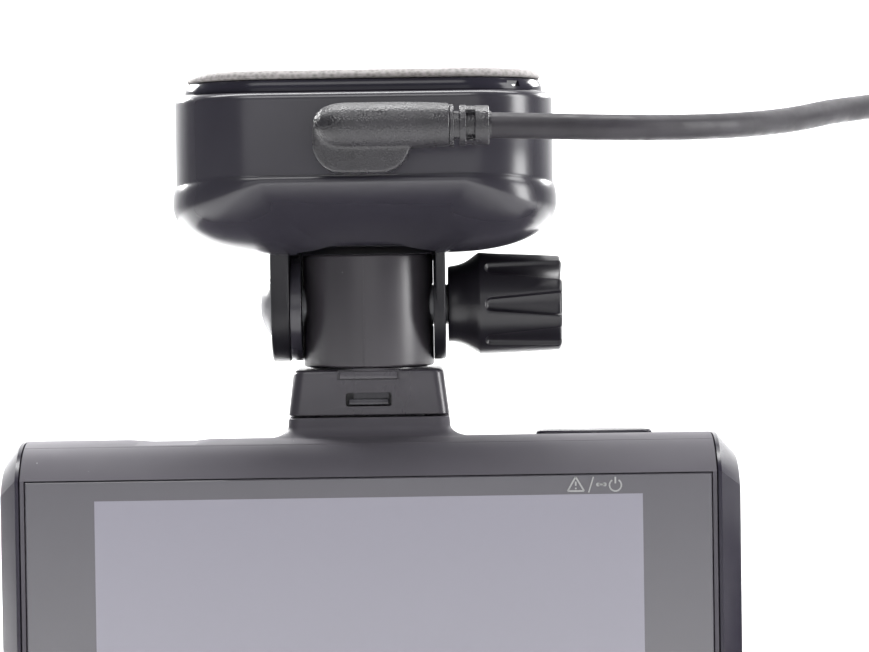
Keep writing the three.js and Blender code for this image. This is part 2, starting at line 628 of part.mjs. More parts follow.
const unit = new THREE.Group();
add(unit, 'screen_frame', screenFrame(), softTouch);
add(unit, 'rear_case', rearCase(), softTouch);
add(unit, 'side_trim_left', sideTrim(-1), glossBlack);
add(unit, 'side_trim_right', sideTrim(1), glossBlack);
add(unit, 'screen_glass', screenPane(), screenGlass);
add(unit, 'display_panel', box(-LCD.halfWidth - 1.4, LCD.halfWidth + 1.4, -17.4, -14.6,
  LCD.bottom - 1.4, LCD.top + 1), displayGrey);
add(unit, 'main_board', box(-33, 33, -12.6, -11.4, 4, 45), boardGreen);
add(unit, 'radar_horn', radarHorn(), steel);
add(unit, 'sensor_window', slabY(roundedRect(SENSOR.x - SENSOR.halfWidth + GAP,
  SENSOR.x + SENSOR.halfWidth - GAP, SENSOR.z - SENSOR.halfHeight + GAP,
  SENSOR.z + SENSOR.halfHeight - GAP, 2.7), 16.4, UNIT_HALF_DEPTH), glossBlack);
add(unit, 'camera_lens', cameraLens(), glossBlack);
add(unit, 'camera_module', box(CAMERA.x - 9, CAMERA.x + 9, 2, 7.7, CAMERA.z - 7, CAMERA.z + 5), innerBlack);
add(unit, 'speaker', speaker(), innerBlack);
add(unit, 'battery_cell', box(10, 33, -10.5, -4.5, 4, 22), foil);
add(unit, 'contact_block', box(-5, 5, 6.2, 8.8, 42.6, 48.8), innerBlack);
add(unit, 'top_button', topButton(), glossBlack);
add(unit, 'button_switch', box(BUTTON.x - 3, BUTTON.x + 3, BUTTON.y - 2, BUTTON.y + 2, 46, 48.8),
  innerBlack);
add(unit, 'card_socket', cardSocket(), steel);
add(unit, 'memory_card', memoryCard(), innerBlack);
unitScrewPlaces().forEach(([x, z], i) => add(unit, `unit_screw_${i + 1}`, unitScrew(x, z), steel));

// ---------------------------------------------------------------- the lead, its coil and car plug
function cordCoil() {
  const { halfWidth, height } = COIL;
  const inner = COIL.radius - halfWidth;
  const outer = COIL.radius + halfWidth;
  const soft = 1;
  const ring = turned([[inner + soft, 0], [outer - soft, 0], [outer, soft], [outer, height - soft],
    [outer - soft, height], [inner + soft, height], [inner, height - soft], [inner, soft],
    [inner + soft, 0]], 40);
  const r0 = inner + GAP;
  const r1 = outer - GAP;
  const block = tieBox(inner - 5, outer + 5, -5, height + 5, GAP);
  const sleeve = cut(block, tieBox(r0, r1, 1.1, height - GAP, 1));
  return cut(ring, sleeve).translate(COIL.x, COIL.y, 0);
}

// A block across the coil's bundle at the tie, as wide as the tie plus a margin each side.
function tieBox(r0, r1, z0, z1, margin) {
  const half = TIE.width / 2 + margin;
  return box(r0, r1, -half, half, z0, z1).rotateZ(THREE.MathUtils.degToRad(TIE.angle));
}

function coilTie() {
  const { halfWidth, height } = COIL;
  const r0 = COIL.radius - halfWidth;
  const r1 = COIL.radius + halfWidth;
  const t = TIE.thickness;
  const top = height + TIE.slack;
  return cut(tieBox(r0 - t, r1 + t, 0, top + t, 0), tieBox(r0, r1, t, top, 1))
    .translate(COIL.x, COIL.y, 0);
}

const lead = new THREE.Group();
add(lead, 'cord', tube(CORD_ROUTE, CORD_R, 60), leadPvc);
add(lead, 'cord_coil', cordCoil(), leadPvc);
add(lead, 'cord_tail', tube(TAIL_ROUTE, CORD_R, 14), leadPvc);
add(lead, 'coil_tie', coilTie(), tieBlack);

// The car plug lies on the coil along -X; its profiles run from the lead to the tip.
const carPlug = new THREE.Group();
carPlug.position.set(CAR_PLUG.x, CAR_PLUG.y, CAR_PLUG.z);
carPlug.rotateY(-Math.PI / 2);
carPlug.rotateZ(Math.PI / 2);
add(carPlug, 'car_plug_relief', turned([[0, 0], [2.3, 0], [3.4, 15], [3.4, 16.4], [0, 16.4]], 20), leadPvc);
add(carPlug, 'car_plug_grip', turned([[0, 16.7], [4.5, 16.7], [8.5, 19], [11, 23], [11.7, 28], [11.7, 40],
  [11.2, 42], [0, 42]], 32), satinBlack);
add(carPlug, 'car_plug_barrel', turned([[0, 42.3], [10.2, 42.3], [10.2, 67], [9, 70], [0, 70]], 32),
  satinBlack);
add(carPlug, 'car_plug_collar', turned([[0, 70.3], [8.2, 70.3], [7.4, 75], [5, 76], [0, 76]], 28),
  innerBlack);
add(carPlug, 'car_plug_tip',
  turned([[0, 76.3], [3.9, 76.3], [3.9, 79.4], [2.6, 81.2], [0, 81.8]], 20), steel);
for (const [name, side] of [['left', -1], ['right', 1]]) {
  const bow = polygon([[10.5, 48], [10.9, 47.6], [11.6, 55], [11.6, 58], [10.9, 65.4], [10.5, 65]]);
  const strip = slabX(bow, -2.4, 2.4).applyMatrix4(new THREE.Matrix4().makeBasis(
    new THREE.Vector3(0, -side, 0), new THREE.Vector3(side, 0, 0), new THREE.Vector3(0, 0, 1)));
  add(carPlug, `car_plug_contact_${name}`, strip, steel);
}

const group = new THREE.Group();
group.add(base, knob, knuckle, foot, unit, lead, carPlug);

export default group;
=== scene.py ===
# Looks for the windscreen radar detector: camera, lead, detailed pieces and materials, built
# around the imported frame. Helpers take millimetres and write metres.
import json
import math

import bmesh
import bpy
from mathutils import Matrix, Vector


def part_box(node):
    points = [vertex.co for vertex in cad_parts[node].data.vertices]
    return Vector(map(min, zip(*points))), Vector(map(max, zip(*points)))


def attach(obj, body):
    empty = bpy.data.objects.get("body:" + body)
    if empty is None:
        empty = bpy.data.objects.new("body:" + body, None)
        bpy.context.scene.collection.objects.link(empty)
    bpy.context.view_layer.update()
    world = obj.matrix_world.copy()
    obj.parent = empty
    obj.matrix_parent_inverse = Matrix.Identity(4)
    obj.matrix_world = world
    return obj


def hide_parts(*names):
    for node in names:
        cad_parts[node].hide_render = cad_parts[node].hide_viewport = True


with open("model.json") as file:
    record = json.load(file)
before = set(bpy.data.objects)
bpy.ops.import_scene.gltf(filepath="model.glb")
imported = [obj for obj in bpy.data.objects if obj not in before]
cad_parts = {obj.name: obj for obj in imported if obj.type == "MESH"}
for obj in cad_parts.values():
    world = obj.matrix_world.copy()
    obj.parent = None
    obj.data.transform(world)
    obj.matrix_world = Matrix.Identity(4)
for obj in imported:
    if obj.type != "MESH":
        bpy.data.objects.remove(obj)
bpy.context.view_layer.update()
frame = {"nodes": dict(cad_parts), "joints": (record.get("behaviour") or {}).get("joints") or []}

MM = 0.001
TAU = 2 * math.pi
JOINTS = {joint["name"]: joint for joint in frame["joints"]}
HINGE_Z = JOINTS["tilt"]["pos_m"][2] / MM     # height of the tilt axis above the underside


def box_mm(node):
    low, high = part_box(node)
    return [c / MM for c in low], [c / MM for c in high]


# ------------------------------------------------------------------ camera
CAMERA_DISTANCE = 450.0
CAMERA_X = 8.3
CAMERA_ABOVE_HINGE = 5.9
CAMERA_PITCH = -1.1
CAMERA_ROLL = -0.86
LENS_MM = 147.7


def make_camera():
    data = bpy.data.cameras.new("camera")
    data.lens = LENS_MM
    data.sensor_width = 36
    data.clip_start = 0.01
    camera = bpy.data.objects.new("camera", data)
    bpy.context.scene.collection.objects.link(camera)
    place = Vector((CAMERA_X, -CAMERA_DISTANCE, HINGE_Z + CAMERA_ABOVE_HINGE)) * MM
    pitch = Matrix.Rotation(math.radians(90 + CAMERA_PITCH), 4, "X")
    roll = Matrix.Rotation(math.radians(CAMERA_ROLL), 4, "Z")
    camera.matrix_world = Matrix.Translation(place) @ pitch @ roll
    bpy.context.scene.camera = camera


make_camera()


# ------------------------------------------------------------------ materials
class Nodes:
    """A material's node tree with short calls to add and link nodes."""

    def __init__(self, name):
        self.material = bpy.data.materials.new(name)
        self.material.use_nodes = True
        self.tree = self.material.node_tree
        self.shader = self.tree.nodes["Principled BSDF"]
        self.place = self.add("ShaderNodeTexCoord").outputs["Object"]

    def add(self, kind, inputs=None, **settings):
        node = self.tree.nodes.new(kind)
        for key, value in settings.items():
            setattr(node, key, value)
        for key, value in (inputs or {}).items():
            self.put(node.inputs[key], value)
        return node

    def put(self, socket, value):
        if isinstance(value, bpy.types.NodeSocket):
            self.tree.links.new(value, socket)
        else:
            socket.default_value = value

    def set(self, **values):
        for key, value in values.items():
            self.put(self.shader.inputs[key.replace("_", " ")], value)

    def noise(self, size_mm, detail=2.0, stretch=(1, 1, 1)):
        """Noise whose blobs are about size_mm across."""
        place = self.add("ShaderNodeMapping", {"Vector": self.place, "Scale": stretch}).outputs["Vector"]
        inputs = {"Vector": place, "Scale": 0.5 / (size_mm * MM), "Detail": detail}
        return self.add("ShaderNodeTexNoise", inputs).outputs["Fac"]

    def ramp(self, fac, low, high, out_low, out_high):
        inputs = {"Value": fac, "From Min": low, "From Max": high, "To Min": out_low, "To Max": out_high}
        return self.add("ShaderNodeMapRange", inputs).outputs["Result"]

    def mix(self, fac, a, b):
        node = self.add("ShaderNodeMix", data_type="RGBA")
        for socket, value in ((node.inputs[0], fac), (node.inputs[6], a), (node.inputs[7], b)):
            self.put(socket, value)
        return node.outputs[2]

    def math(self, operation, a, b=0.0):
        return self.add("ShaderNodeMath", {0: a, 1: b}, operation=operation).outputs[0]

    def bump(self, height, depth_mm):
        inputs = {"Height": height, "Distance": depth_mm * MM, "Strength": 1.0}
        return self.add("ShaderNodeBump", inputs).outputs["Normal"]


def grey(value):
    return (value, value, value, 1.0)


def shade(colour, factor):
    return tuple(c * factor for c in colour[:3]) + (1.0,)


def moulded(name, colour, roughness, grain=None, smudge=0.06, specks=0.0, specular=0.5):
    """Moulded plastic: slow changes of gloss from handling, paler worn edges, dust.

    grain is the size and depth of the skin's grain in mm, or None on a smooth skin.
    """
    n = Nodes(name)
    slow = n.noise(9, 3)
    rub = n.noise(1.6, 4, (1, 1, 0.4))
    tone = n.mix(n.ramp(slow, 0.35, 0.65, 0, 1), shade(colour, 0.92), shade(colour, 1.1))
    edge = n.ramp(n.add("ShaderNodeNewGeometry").outputs["Pointiness"], 0.53, 0.62, 0, 0.15)
    tone = n.mix(n.math("MULTIPLY", edge, rub), tone, shade(colour, 2.2))
    if specks:
        dots = n.add("ShaderNodeTexVoronoi", {"Vector": n.place, "Scale": 420.0}).outputs["Distance"]
        areas = n.math("GREATER_THAN", n.noise(4, 2), 0.56)
        dust = n.math("MULTIPLY", n.math("LESS_THAN", dots, 0.035), areas)
        tone = n.mix(n.math("MULTIPLY", dust, specks), tone, grey(0.55))
    n.set(Base_Color=tone, Roughness=n.ramp(rub, 0.3, 0.7, roughness - smudge, roughness + smudge))
    if grain:
        size, depth = grain
        n.set(Normal=n.bump(n.noise(size, 3), depth))
    n.set(Specular_IOR_Level=specular)
    return n.material


def metal(name, colour, roughness, brush=(1, 1, 12)):
    n = Nodes(name)
    grain = n.noise(0.3, 4, brush)
    tone = n.mix(n.noise(3, 3), shade(colour, 0.85), shade(colour, 1.1))
    n.set(Base_Color=tone, Metallic=1.0, Roughness=n.ramp(grain, 0.3, 0.7, roughness - 0.08, roughness + 0.1))
    n.set(Normal=n.bump(grain, 0.003))
    return n.material


def soft_pvc(name, colour, roughness, mottle_depth, specular=0.5):
    """Soft PVC with the fine mottled skin that spark-eroded moulds leave."""
    n = Nodes(name)
    pits = n.add("ShaderNodeTexVoronoi", {"Vector": n.place, "Scale": 4600.0}).outputs["Distance"]
    skin = n.math("ADD", pits, n.math("MULTIPLY", n.noise(0.35, 2), 0.15))
    tone = n.mix(n.ramp(n.noise(2.2, 3), 0.35, 0.65, 0, 1), shade(colour, 0.85), shade(colour, 1.2))
    n.set(Base_Color=tone, Roughness=n.ramp(n.noise(0.9, 2), 0.35, 0.65, roughness - 0.08, roughness + 0.08))
    n.set(Normal=n.bump(skin, mottle_depth), Specular_IOR_Level=specular)
    return n.material


def gel_sheet():
    n = Nodes("gel_sheet")
    cells = n.add("ShaderNodeTexVoronoi", {"Vector": n.place, "Scale": 1900.0}).outputs["Distance"]
    tone = n.mix(n.ramp(cells, 0.1, 0.7, 0, 1), (0.15, 0.14, 0.138, 1), (0.27, 0.255, 0.25, 1))
    n.set(Base_Color=tone, Roughness=0.7, Normal=n.bump(cells, 0.008))
    return n.material


def circuit_board():
    n = Nodes("circuit_board")
    tracks = n.add("ShaderNodeTexBrick", {"Vector": n.place, "Scale": 260.0, "Color1": grey(0.1),
                                          "Color2": grey(0.9), "Mortar": grey(0.5)}).outputs["Fac"]
    tone = n.mix(n.math("MULTIPLY", tracks, 0.6), (0.012, 0.09, 0.035, 1), (0.05, 0.22, 0.09, 1))
    n.set(Base_Color=tone, Roughness=0.35, Normal=n.bump(tracks, 0.02))
    return n.material


def webbing():
    n = Nodes("webbing")
    loops = n.add("ShaderNodeTexVoronoi", {"Vector": n.place, "Scale": 1500.0}).outputs["Distance"]
    n.set(Base_Color=n.mix(loops, grey(0.008), grey(0.035)), Roughness=0.95, Sheen_Weight=0.4)
    n.set(Normal=n.bump(loops, 0.12))
    return n.material


SOFT_TOUCH = moulded("soft_touch", (0.062, 0.058, 0.068), 0.62, (0.3, 0.0015), 0.03, 0.5, 0.2)
SATIN = moulded("satin_black", (0.021, 0.0195, 0.026), 0.25, None, 0.015, 0.35)
BARREL = moulded("barrel_black", (0.034, 0.031, 0.036), 0.34, None, 0.015, 0.2, 0.4)
# Painted shade: a dull near-black for the faces in the narrow gap beside the knuckle.
GAP_SHADE = moulded("gap_painted_shade", (0.008, 0.0075, 0.009), 0.9, None, 0.02, specular=0.02)
GLOSS = moulded("gloss_black", (0.018, 0.017, 0.024), 0.16, None, 0.02, specular=0.15)
# Painted shade: a darker black for the ears, standing in for the shade they sit in under the base.
EAR_PAINTED_SHADE = moulded("ear_painted_shade", (0.007, 0.0065, 0.009), 0.4, None, 0.02, specular=0.25)
FOOT_GLOSS = moulded("foot_black", (0.034, 0.031, 0.038), 0.28, None, 0.015)
TRIM = moulded("trim_black", (0.014, 0.012, 0.02), 0.22, None, 0.02, specular=0.3)
KNOB = moulded("knob_black", (0.008, 0.007, 0.01), 0.3, None, 0.02, 0.3, 0.4)
BOLT = moulded("bolt_grey", (0.13, 0.13, 0.14), 0.36, (0.4, 0.001), 0.05)
PLUG = soft_pvc("plug_pvc", (0.017, 0.016, 0.019), 0.3, 0.04)
CORD = soft_pvc("cord_pvc", (0.024, 0.022, 0.026), 0.45, 0.002, 0.25)
STEEL = metal("steel", (0.55, 0.56, 0.57), 0.3)
BRASS = metal("brass", (0.62, 0.44, 0.18), 0.3)
FOIL = metal("foil", (0.66, 0.66, 0.68), 0.4, (1, 1, 1))
GEL = gel_sheet()
BOARD = circuit_board()
CERAMIC = moulded("ceramic", (0.52, 0.43, 0.28), 0.55, (0.2, 0.01))
INNER = moulded("inner_black", (0.02, 0.02, 0.022), 0.6, (0.2, 0.006))
WEBBING = webbing()


# ------------------------------------------------------------------ mesh helpers
def make(name, verts, faces, *materials):
    mesh = bpy.data.meshes.new(name)
    mesh.from_pydata([Vector(v) * MM for v in verts], [], faces)
    piece = bpy.data.objects.new(name, mesh)
    bpy.context.scene.collection.objects.link(piece)
    for material in materials:
        mesh.materials.append(material)
    return piece


def apply_modifiers(piece):
    """Writes the piece's modifiers into its mesh."""
    graph = bpy.context.evaluated_depsgraph_get()
    solved = bpy.data.meshes.new_from_object(piece.evaluated_get(graph))
    piece.modifiers.clear()
    old = piece.data
    piece.data = solved
    bpy.data.meshes.remove(old)


def soften(piece, angle=32):
    """Smooth shading that keeps edges sharper than the angle."""
    work = bmesh.new()
    work.from_mesh(piece.data)
    bmesh.ops.recalc_face_normals(work, faces=work.faces)
    for face in work.faces:
        face.smooth = True
    for edge in work.edges:
        edge.smooth = len(edge.link_faces) == 2 and edge.calc_face_angle(0) < math.radians(angle)
    work.to_mesh(piece.data)
    work.free()
    return piece


def round_edges(piece, width, segments=3, angle=32):
    bevel = piece.modifiers.new("round", "BEVEL")
    bevel.width = width * MM
    bevel.segments = segments
    bevel.limit_method = "ANGLE"
    bevel.angle_limit = math.radians(angle)
    bevel.miter_outer = "MITER_ARC"
    apply_modifiers(piece)
    return piece


def carve(piece, cutters, operation="DIFFERENCE"):
    """Cuts the cutters out of the piece, or joins them to it, and removes them."""
    for cutter in cutters:
        mod = piece.modifiers.new("carve", "BOOLEAN")
        mod.operation = operation
        mod.solver = "EXACT"
        mod.object = cutter
        apply_modifiers(piece)
        bpy.data.objects.remove(cutter)
    return piece


def join(piece, others):
    """One object of several closed shells."""
    work = bmesh.new()
    work.from_mesh(piece.data)
    for other in others:
        work.from_mesh(other.data)
        bpy.data.objects.remove(other)
    work.to_mesh(piece.data)
    work.free()
    return piece


def loft(name, rings, *materials):
    """A closed skin over rings of equal count, with flat ends."""
    count = len(rings[0])
    verts = [p for ring in rings for p in ring]
    faces = []
    for i in range(len(rings) - 1):
        for j in range(count):
            k = (j + 1) % count
            faces.append((i * count + j, i * count + k, (i + 1) * count + k, (i + 1) * count + j))
    faces.append(tuple(reversed(range(count))))
    faces.append(tuple(range((len(rings) - 1) * count, len(rings) * count)))
    piece = make(name, verts, faces, *materials)
    return soften(piece)


def arc(cx, cy, radius, start, end, steps):
    angles = [math.radians(start + (end - start) * i / steps) for i in range(steps + 1)]
    return [(cx + radius * math.cos(a), cy + radius * math.sin(a)) for a in angles]


def rounded(u0, u1, v0, v1, radius, steps=8):
    """Outline of a rectangle with round corners, anticlockwise."""
    return (arc(u1 - radius, v0 + radius, radius, -90, 0, steps)
            + arc(u1 - radius, v1 - radius, radius, 0, 90, steps)
            + arc(u0 + radius, v1 - radius, radius, 90, 180, steps)
            + arc(u0 + radius, v0 + radius, radius, 180, 270, steps))


PLANES = {"x": lambda u, v, w: (w, u, v), "y": lambda u, v, w: (u, w, v), "z": lambda u, v, w: (u, v, w)}


def prism(name, outline, axis, start, end, *materials):
    """The outline, in the plane across the axis, carried from start to end."""
    put = PLANES[axis]
    return loft(name, [[put(u, v, w) for u, v in outline] for w in (start, end)], *materials)


def block(name, low, high, *materials):
    outline = [(low[0], low[1]), (high[0], low[1]), (high[0], high[1]), (low[0], high[1])]
    return prism(name, outline, "z", low[2], high[2], *materials)


def turned(name, profile, *materials, axis="z", centre=(0, 0, 0), segments=72):
    """A turned solid: the profile is (radius, place along the axis)."""
    put = PLANES[axis]
    rings = []
    for radius, along in profile:
        ring = [put(radius * math.cos(TAU * j / segments), radius * math.sin(TAU * j / segments), along)
                for j in range(segments)]
        rings.append([tuple(c + d for c, d in zip(p, centre)) for p in ring])
    return loft(name, rings, *materials)


def turned_about_hinge(name, profile, *materials, segments=72):
    return turned(name, profile, *materials, axis="x", centre=(0, 0, HINGE_Z), segments=segments)


def bead(radius, start, end, edge, steps=4):
    """Profile of a cylinder with rounded rims."""
    angles = [math.radians(90 * i / steps) for i in range(steps + 1)]
    low = [(radius - edge + edge * math.sin(a), start + edge - edge * math.cos(a)) for a in angles]
    high = [(r, start + end - z) for r, z in reversed(low)]
    return low + high


def place_piece(piece, body, slot, *nodes):
    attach(piece, body)
    if nodes:
        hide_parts(*nodes)
    return piece


# ------------------------------------------------------------------ the lead
CORD_RADIUS = 1.55

# Free stretch from the strain relief to the coil, then the stretch from the coil to the car plug.
CORD_ROUTE = [
    (13.4, -30.2, 91.4), (15.7, -30.2, 91.35), (20.5, -30.2, 91.2), (27, -29.4, 91.0), (36, -26, 90.95),
    (44, -20.5, 91.25), (52, -12.5, 92.1), (60, -3.5, 93.6), (67, 3, 94), (73.5, 7, 91.8), (77.6, 9, 86),
    (79.2, 9.6, 77), (79.4, 9, 65), (78.8, 7, 50), (77.4, 3.6, 34), (75.6, -1.6, 20), (74.6, -7.4, 10),
    (75.6, -12.8, 4.2), (79, -17.2, 2), (84.4, -19.8, 1.6), (91.4, -20.4, 1.6), (98.6, -20.4, 1.6),
]
TAIL_ROUTE = [
    (120.4, -17.9, 11.05), (127.5, -14.9, 11.3), (136, -12.4, 12.2), (146, -11.4, 13.6), (157, -11, 15.8),
    (167, -9.6, 18.6), (174.5, -5.6, 21.4), (178.3, 0, 23.4), (177.6, 5.2, 24.4), (173, 7.8, 24.6),
    (168, 8, 24.6), (160, 8, 24.6), (150, 8, 24.6), (141, 8, 24.6),
]
COIL = {"x": 106, "y": 8, "radius": 20, "half_width": 10, "height": 12.6}
COIL_LAYERS = 4
COIL_TURNS = 5.42            # turns in each layer
COIL_CLIMB = 0.12            # share of a turn that climbs to the next layer
COIL_SPACING = 3.1           # between turns of a layer
COIL_RISE = 3.15             # between layers
COIL_START = -90             # degrees, where the lead runs into the coil
TIE = {"angle": 110, "width": 6, "thickness": 0.8, "lift": 1.0}


def coil_route():
    """The turns from the outside in and back out, layer on layer, lifted a little over the tie."""
    points = []
    reach = COIL_SPACING * COIL_TURNS / 2
    steps = 24
    turned_so_far = 0.0
    for layer in range(COIL_LAYERS):
        outward = layer % 2 == 1
        spans = [("wind", COIL_TURNS)] + ([("climb", COIL_CLIMB)] if layer + 1 < COIL_LAYERS else [])
        for kind, turns in spans:
            count = round(turns * steps)
            for i in range(count):
                part = i / count
                angle = math.radians(COIL_START) + TAU * (turned_so_far + turns * part)
                across = (2 * part - 1) if kind == "wind" else 1
                radius = COIL["radius"] - (reach * across) * (-1 if outward else 1)
                rise = layer + (0.5 - 0.5 * math.cos(math.pi * part) if kind == "climb" else 0)
                off_tie = (math.degrees(angle) - TIE["angle"] + 180) % 360 - 180
                z = CORD_RADIUS + 0.05 + COIL_RISE * rise + TIE["lift"] * math.exp(-(off_tie / 24) ** 2)
                x, y = COIL["x"] + radius * math.cos(angle), COIL["y"] + radius * math.sin(angle)
                points.append((x, y, z))
            turned_so_far += turns
    return points[1:]


def make_cord():
    points = CORD_ROUTE + coil_route() + TAIL_ROUTE
    curve = bpy.data.curves.new("power_cord", "CURVE")
    curve.dimensions = "3D"
    curve.bevel_depth = CORD_RADIUS * MM
    curve.bevel_resolution = 5
    curve.resolution_u = 4
    curve.use_fill_caps = True
    spline = curve.splines.new("BEZIER")
    spline.bezier_points.add(len(points) - 1)
    for knot, point in zip(spline.bezier_points, points):
        knot.co = Vector(point) * MM
        knot.handle_left_type = "AUTO"
        knot.handle_right_type = "AUTO"
    curve.materials.append(CORD)
    cord = bpy.data.objects.new("power_cord", curve)
    bpy.context.scene.collection.objects.link(cord)
    return place_piece(cord, "base", "lead_pvc", "cord", "cord_coil", "cord_tail")


def coil_tie():
    """A hook-and-loop strap round the bundle, with its end lapped on top."""
    r0 = COIL["radius"] - COIL["half_width"]
    r1 = COIL["radius"] + COIL["half_width"]
    top = COIL["height"] + 1.2
    half = TIE["width"] / 2
    t = TIE["thickness"]
    strap = prism("coil_strap", rounded(r0 - t, r1 + t, 0.02, top + t, 3), "y", half, -half, WEBBING)
    carve(strap, [prism("gap", rounded(r0, r1, t, top, 2.4), "y", half + 1, -half - 1)])
    lapped = rounded(COIL["radius"] - 5, r1 - 2, top + t - 0.1, top + 1.5 * t, 0.3)
    lap = prism("lap", lapped, "y", half, -half)
    join(strap, [lap])
    turn = Matrix.Rotation(math.radians(TIE["angle"]), 4, "Z")
    strap.data.transform(Matrix.Translation(Vector((COIL["x"], COIL["y"], 0)) * MM) @ turn)
    soften(strap)
    return place_piece(strap, "base", "tie_webbing", "coil_tie")


PLUG_AXIS_Y = -30.2
PLUG_SHIFT = 1.05
PLUG_ARM_Z = HINGE_Z + 21.5


def power_plug():
    """Right-angle plug: an arm along the lead, blended into a head that goes into the jack."""
    profile = [(0.6, -6.75), (1.5, -6.35), (2.2, -5.6), (2.65, -4.4), (2.8, -3), (2.8, 3), (2.72, 6.5),
               (2.55, 9.4)]
    arm = turned("power_plug_body", profile, PLUG, axis="x", centre=(PLUG_SHIFT, PLUG_AXIS_Y, PLUG_ARM_Z),
                 segments=48)
    head = prism("head", rounded(-5.75, 5.75, HINGE_Z + 15.95, HINGE_Z + 24.15, 3.6), "y", -23.9, -31.4)
    carve(arm, [head], "UNION")
    remesh = arm.modifiers.new("skin", "REMESH")
    remesh.mode = "VOXEL"
    remesh.voxel_size = 0.16 * MM
    smooth = arm.modifiers.new("blend", "SMOOTH")
    smooth.factor = 0.6
    smooth.iterations = 14
    apply_modifiers(arm)
    for face in arm.data.polygons:
        face.use_smooth = True
    return place_piece(arm, "base", "lead_pvc", "power_plug")


def strain_relief():
    """Rings and alternate windows that let the lead bend."""
    z = PLUG_ARM_Z - 0.1
    centre = (PLUG_SHIFT, PLUG_AXIS_Y, z)
    core = turned("strain_relief_rings", [(1.7, 9.3), (1.7, 14.0), (1.62, 14.3)], PLUG, axis="x",
                  centre=centre, segments=40)
    rings = [turned("ring", bead(radius, start, end, 0.15), axis="x", centre=centre, segments=40)
             for radius, start, end in ((2.5, 9.35, 9.85), (2.42, 10.5, 11.3), (2.32, 12.35, 14.0))]
    bridges = []
    for angle, start, end in ((0, 9.6, 10.8), (180, 9.6, 10.8), (90, 11, 12.6), (270, 11, 12.6)):
        spread = arc(0, 0, 2.3, angle - 38, angle + 38, 8) + arc(0, 0, 1.3, angle + 38, angle - 38, 8)
        outline = [(PLUG_AXIS_Y + u, z + v) for u, v in spread]
        bridges.append(prism("bridge", outline, "x", PLUG_SHIFT + start, PLUG_SHIFT + end))
    join(core, rings + bridges)
    soften(core)
    return place_piece(core, "base", "lead_pvc", "strain_relief")


CAR_PLUG = {"x": 165.5, "y": 8, "z": 24.6}


def car_plug_part(name, profile, material, slot, node, ribs=()):
    """A turned piece of the car plug, which lies along -X."""
    centre = (0, CAR_PLUG["y"], CAR_PLUG["z"])
    along = [(radius, CAR_PLUG["x"] - z) for radius, z in profile]
    piece = turned(name, along, material, axis="x", centre=centre, segments=64)
    rings = [turned("rib", bead(radius, CAR_PLUG["x"] - z1, CAR_PLUG["x"] - z0, 0.2), axis="x",
                    centre=centre, segments=64) for radius, z0, z1 in ribs]
    soften(join(piece, rings) if rings else piece)
    return place_piece(piece, "base", slot, node)


def car_plug():
    boot = [(1.7, 0.3), (2.3, 0.5), (2.5, 3), (3.0, 12), (3.3, 15.6), (3.3, 16.4)]
    handle = [(4.2, 16.6), (4.6, 16.8), (6.6, 17.8), (8.6, 19.3), (10.2, 21.6), (11.2, 24.4), (11.65, 28),
              (11.7, 38), (11.6, 41), (11.2, 42)]
    sleeve = [(9.8, 42.3), (10.2, 42.7), (10.2, 66.4), (9.9, 68), (9, 70)]
    nose = bead(8.2, 70.1, 73, 0.3) + [(7.8, 73.4), (7.2, 75.4), (5, 76)]
    pin = [(3.7, 76.1), (3.9, 76.5), (3.9, 79.2), (3.3, 80.6), (2.2, 81.4), (0.6, 81.75)]
    pieces = [
        car_plug_part("car_plug_boot", boot, PLUG, "lead_pvc", "car_plug_relief",
                      [(2.9, 3, 3.9), (3.05, 6, 6.9), (3.2, 9, 9.9)]),
        car_plug_part("car_plug_handle", handle, SATIN, "satin_black", "car_plug_grip",
                      [(11.72, 29 + 2.2 * i, 30.1 + 2.2 * i) for i in range(5)]),
        car_plug_part("car_plug_sleeve", sleeve, GLOSS, "satin_black", "car_plug_barrel"),
        car_plug_part("car_plug_nose", nose, INNER, "inner_black", "car_plug_collar"),
        car_plug_part("car_plug_pin", pin, STEEL, "steel", "car_plug_tip"),
    ]
    for side, name in ((-1, "left"), (1, "right")):
        bow = [(10.0, 47.6), (11.2, 52), (11.7, 56.5), (11.2, 61), (10.0, 65.4)]
        skin = [(CAR_PLUG["x"] - z, CAR_PLUG["y"] + side * r) for r, z in bow]
        inner = [(CAR_PLUG["x"] - z, CAR_PLUG["y"] + side * (r - 0.5)) for r, z in reversed(bow)]
        spring = prism("car_plug_spring_" + name, skin + inner, "z", CAR_PLUG["z"] - 2.3,
                       CAR_PLUG["z"] + 2.3, STEEL)
        round_edges(spring, 0.12)
        pieces.append(place_piece(soften(spring), "base", "steel", "car_plug_contact_" + name))
    return pieces


cord = make_cord()
cord_pieces = [power_plug(), strain_relief(), coil_tie()] + car_plug()


# ------------------------------------------------------------------ the base on the windscreen
BASE_HALF = 23.5
BASE_CORNER = 11.2
WALL_HALF = 23.1
CREASE_FRONT, CREASE_SIDE = 16.1, 15.0
BELLY = 6.4
RIM_FRONT, RIM_SIDE = 15.9, 12.6
BOWL_POWER = {"front": 1.8, "rear": 4, "side": 4.4}   # how late the bowl turns up to its rim
HOUSING_TOP = 26.0
WALL_ROUND = 1.0
EAR_RADIUS = 6.9
RECESS_RADIUS = 11.2
BOLT_BORE = 2.8
EAR_LEFT = (-12.05, -9.7)
EAR_RIGHT = (8.5, 9.75)


def square(half, corner, z, steps=20):
    return [(x, y, z) for x, y in rounded(-half, half, -half, half, corner, steps)]


def underside(x, y, s):
    """Height of the bowl-shaped underside above the tilt axis; s is 0 in the middle and 1 at the rim."""
    frontness = math.atan2(abs(y), abs(x)) / (math.pi / 2)
    rim = RIM_SIDE + (RIM_FRONT - RIM_SIDE) * smooth_step((frontness - 0.45) / 0.35)
    late = 1 - math.sqrt(max(0.0, 1 - s ** BOWL_POWER["side"]))
    early = s ** BOWL_POWER["front" if y < 0 else "rear"]
    return BELLY + (rim - BELLY) * (late + (early - late) * smooth_step((frontness - 0.42) / 0.38))


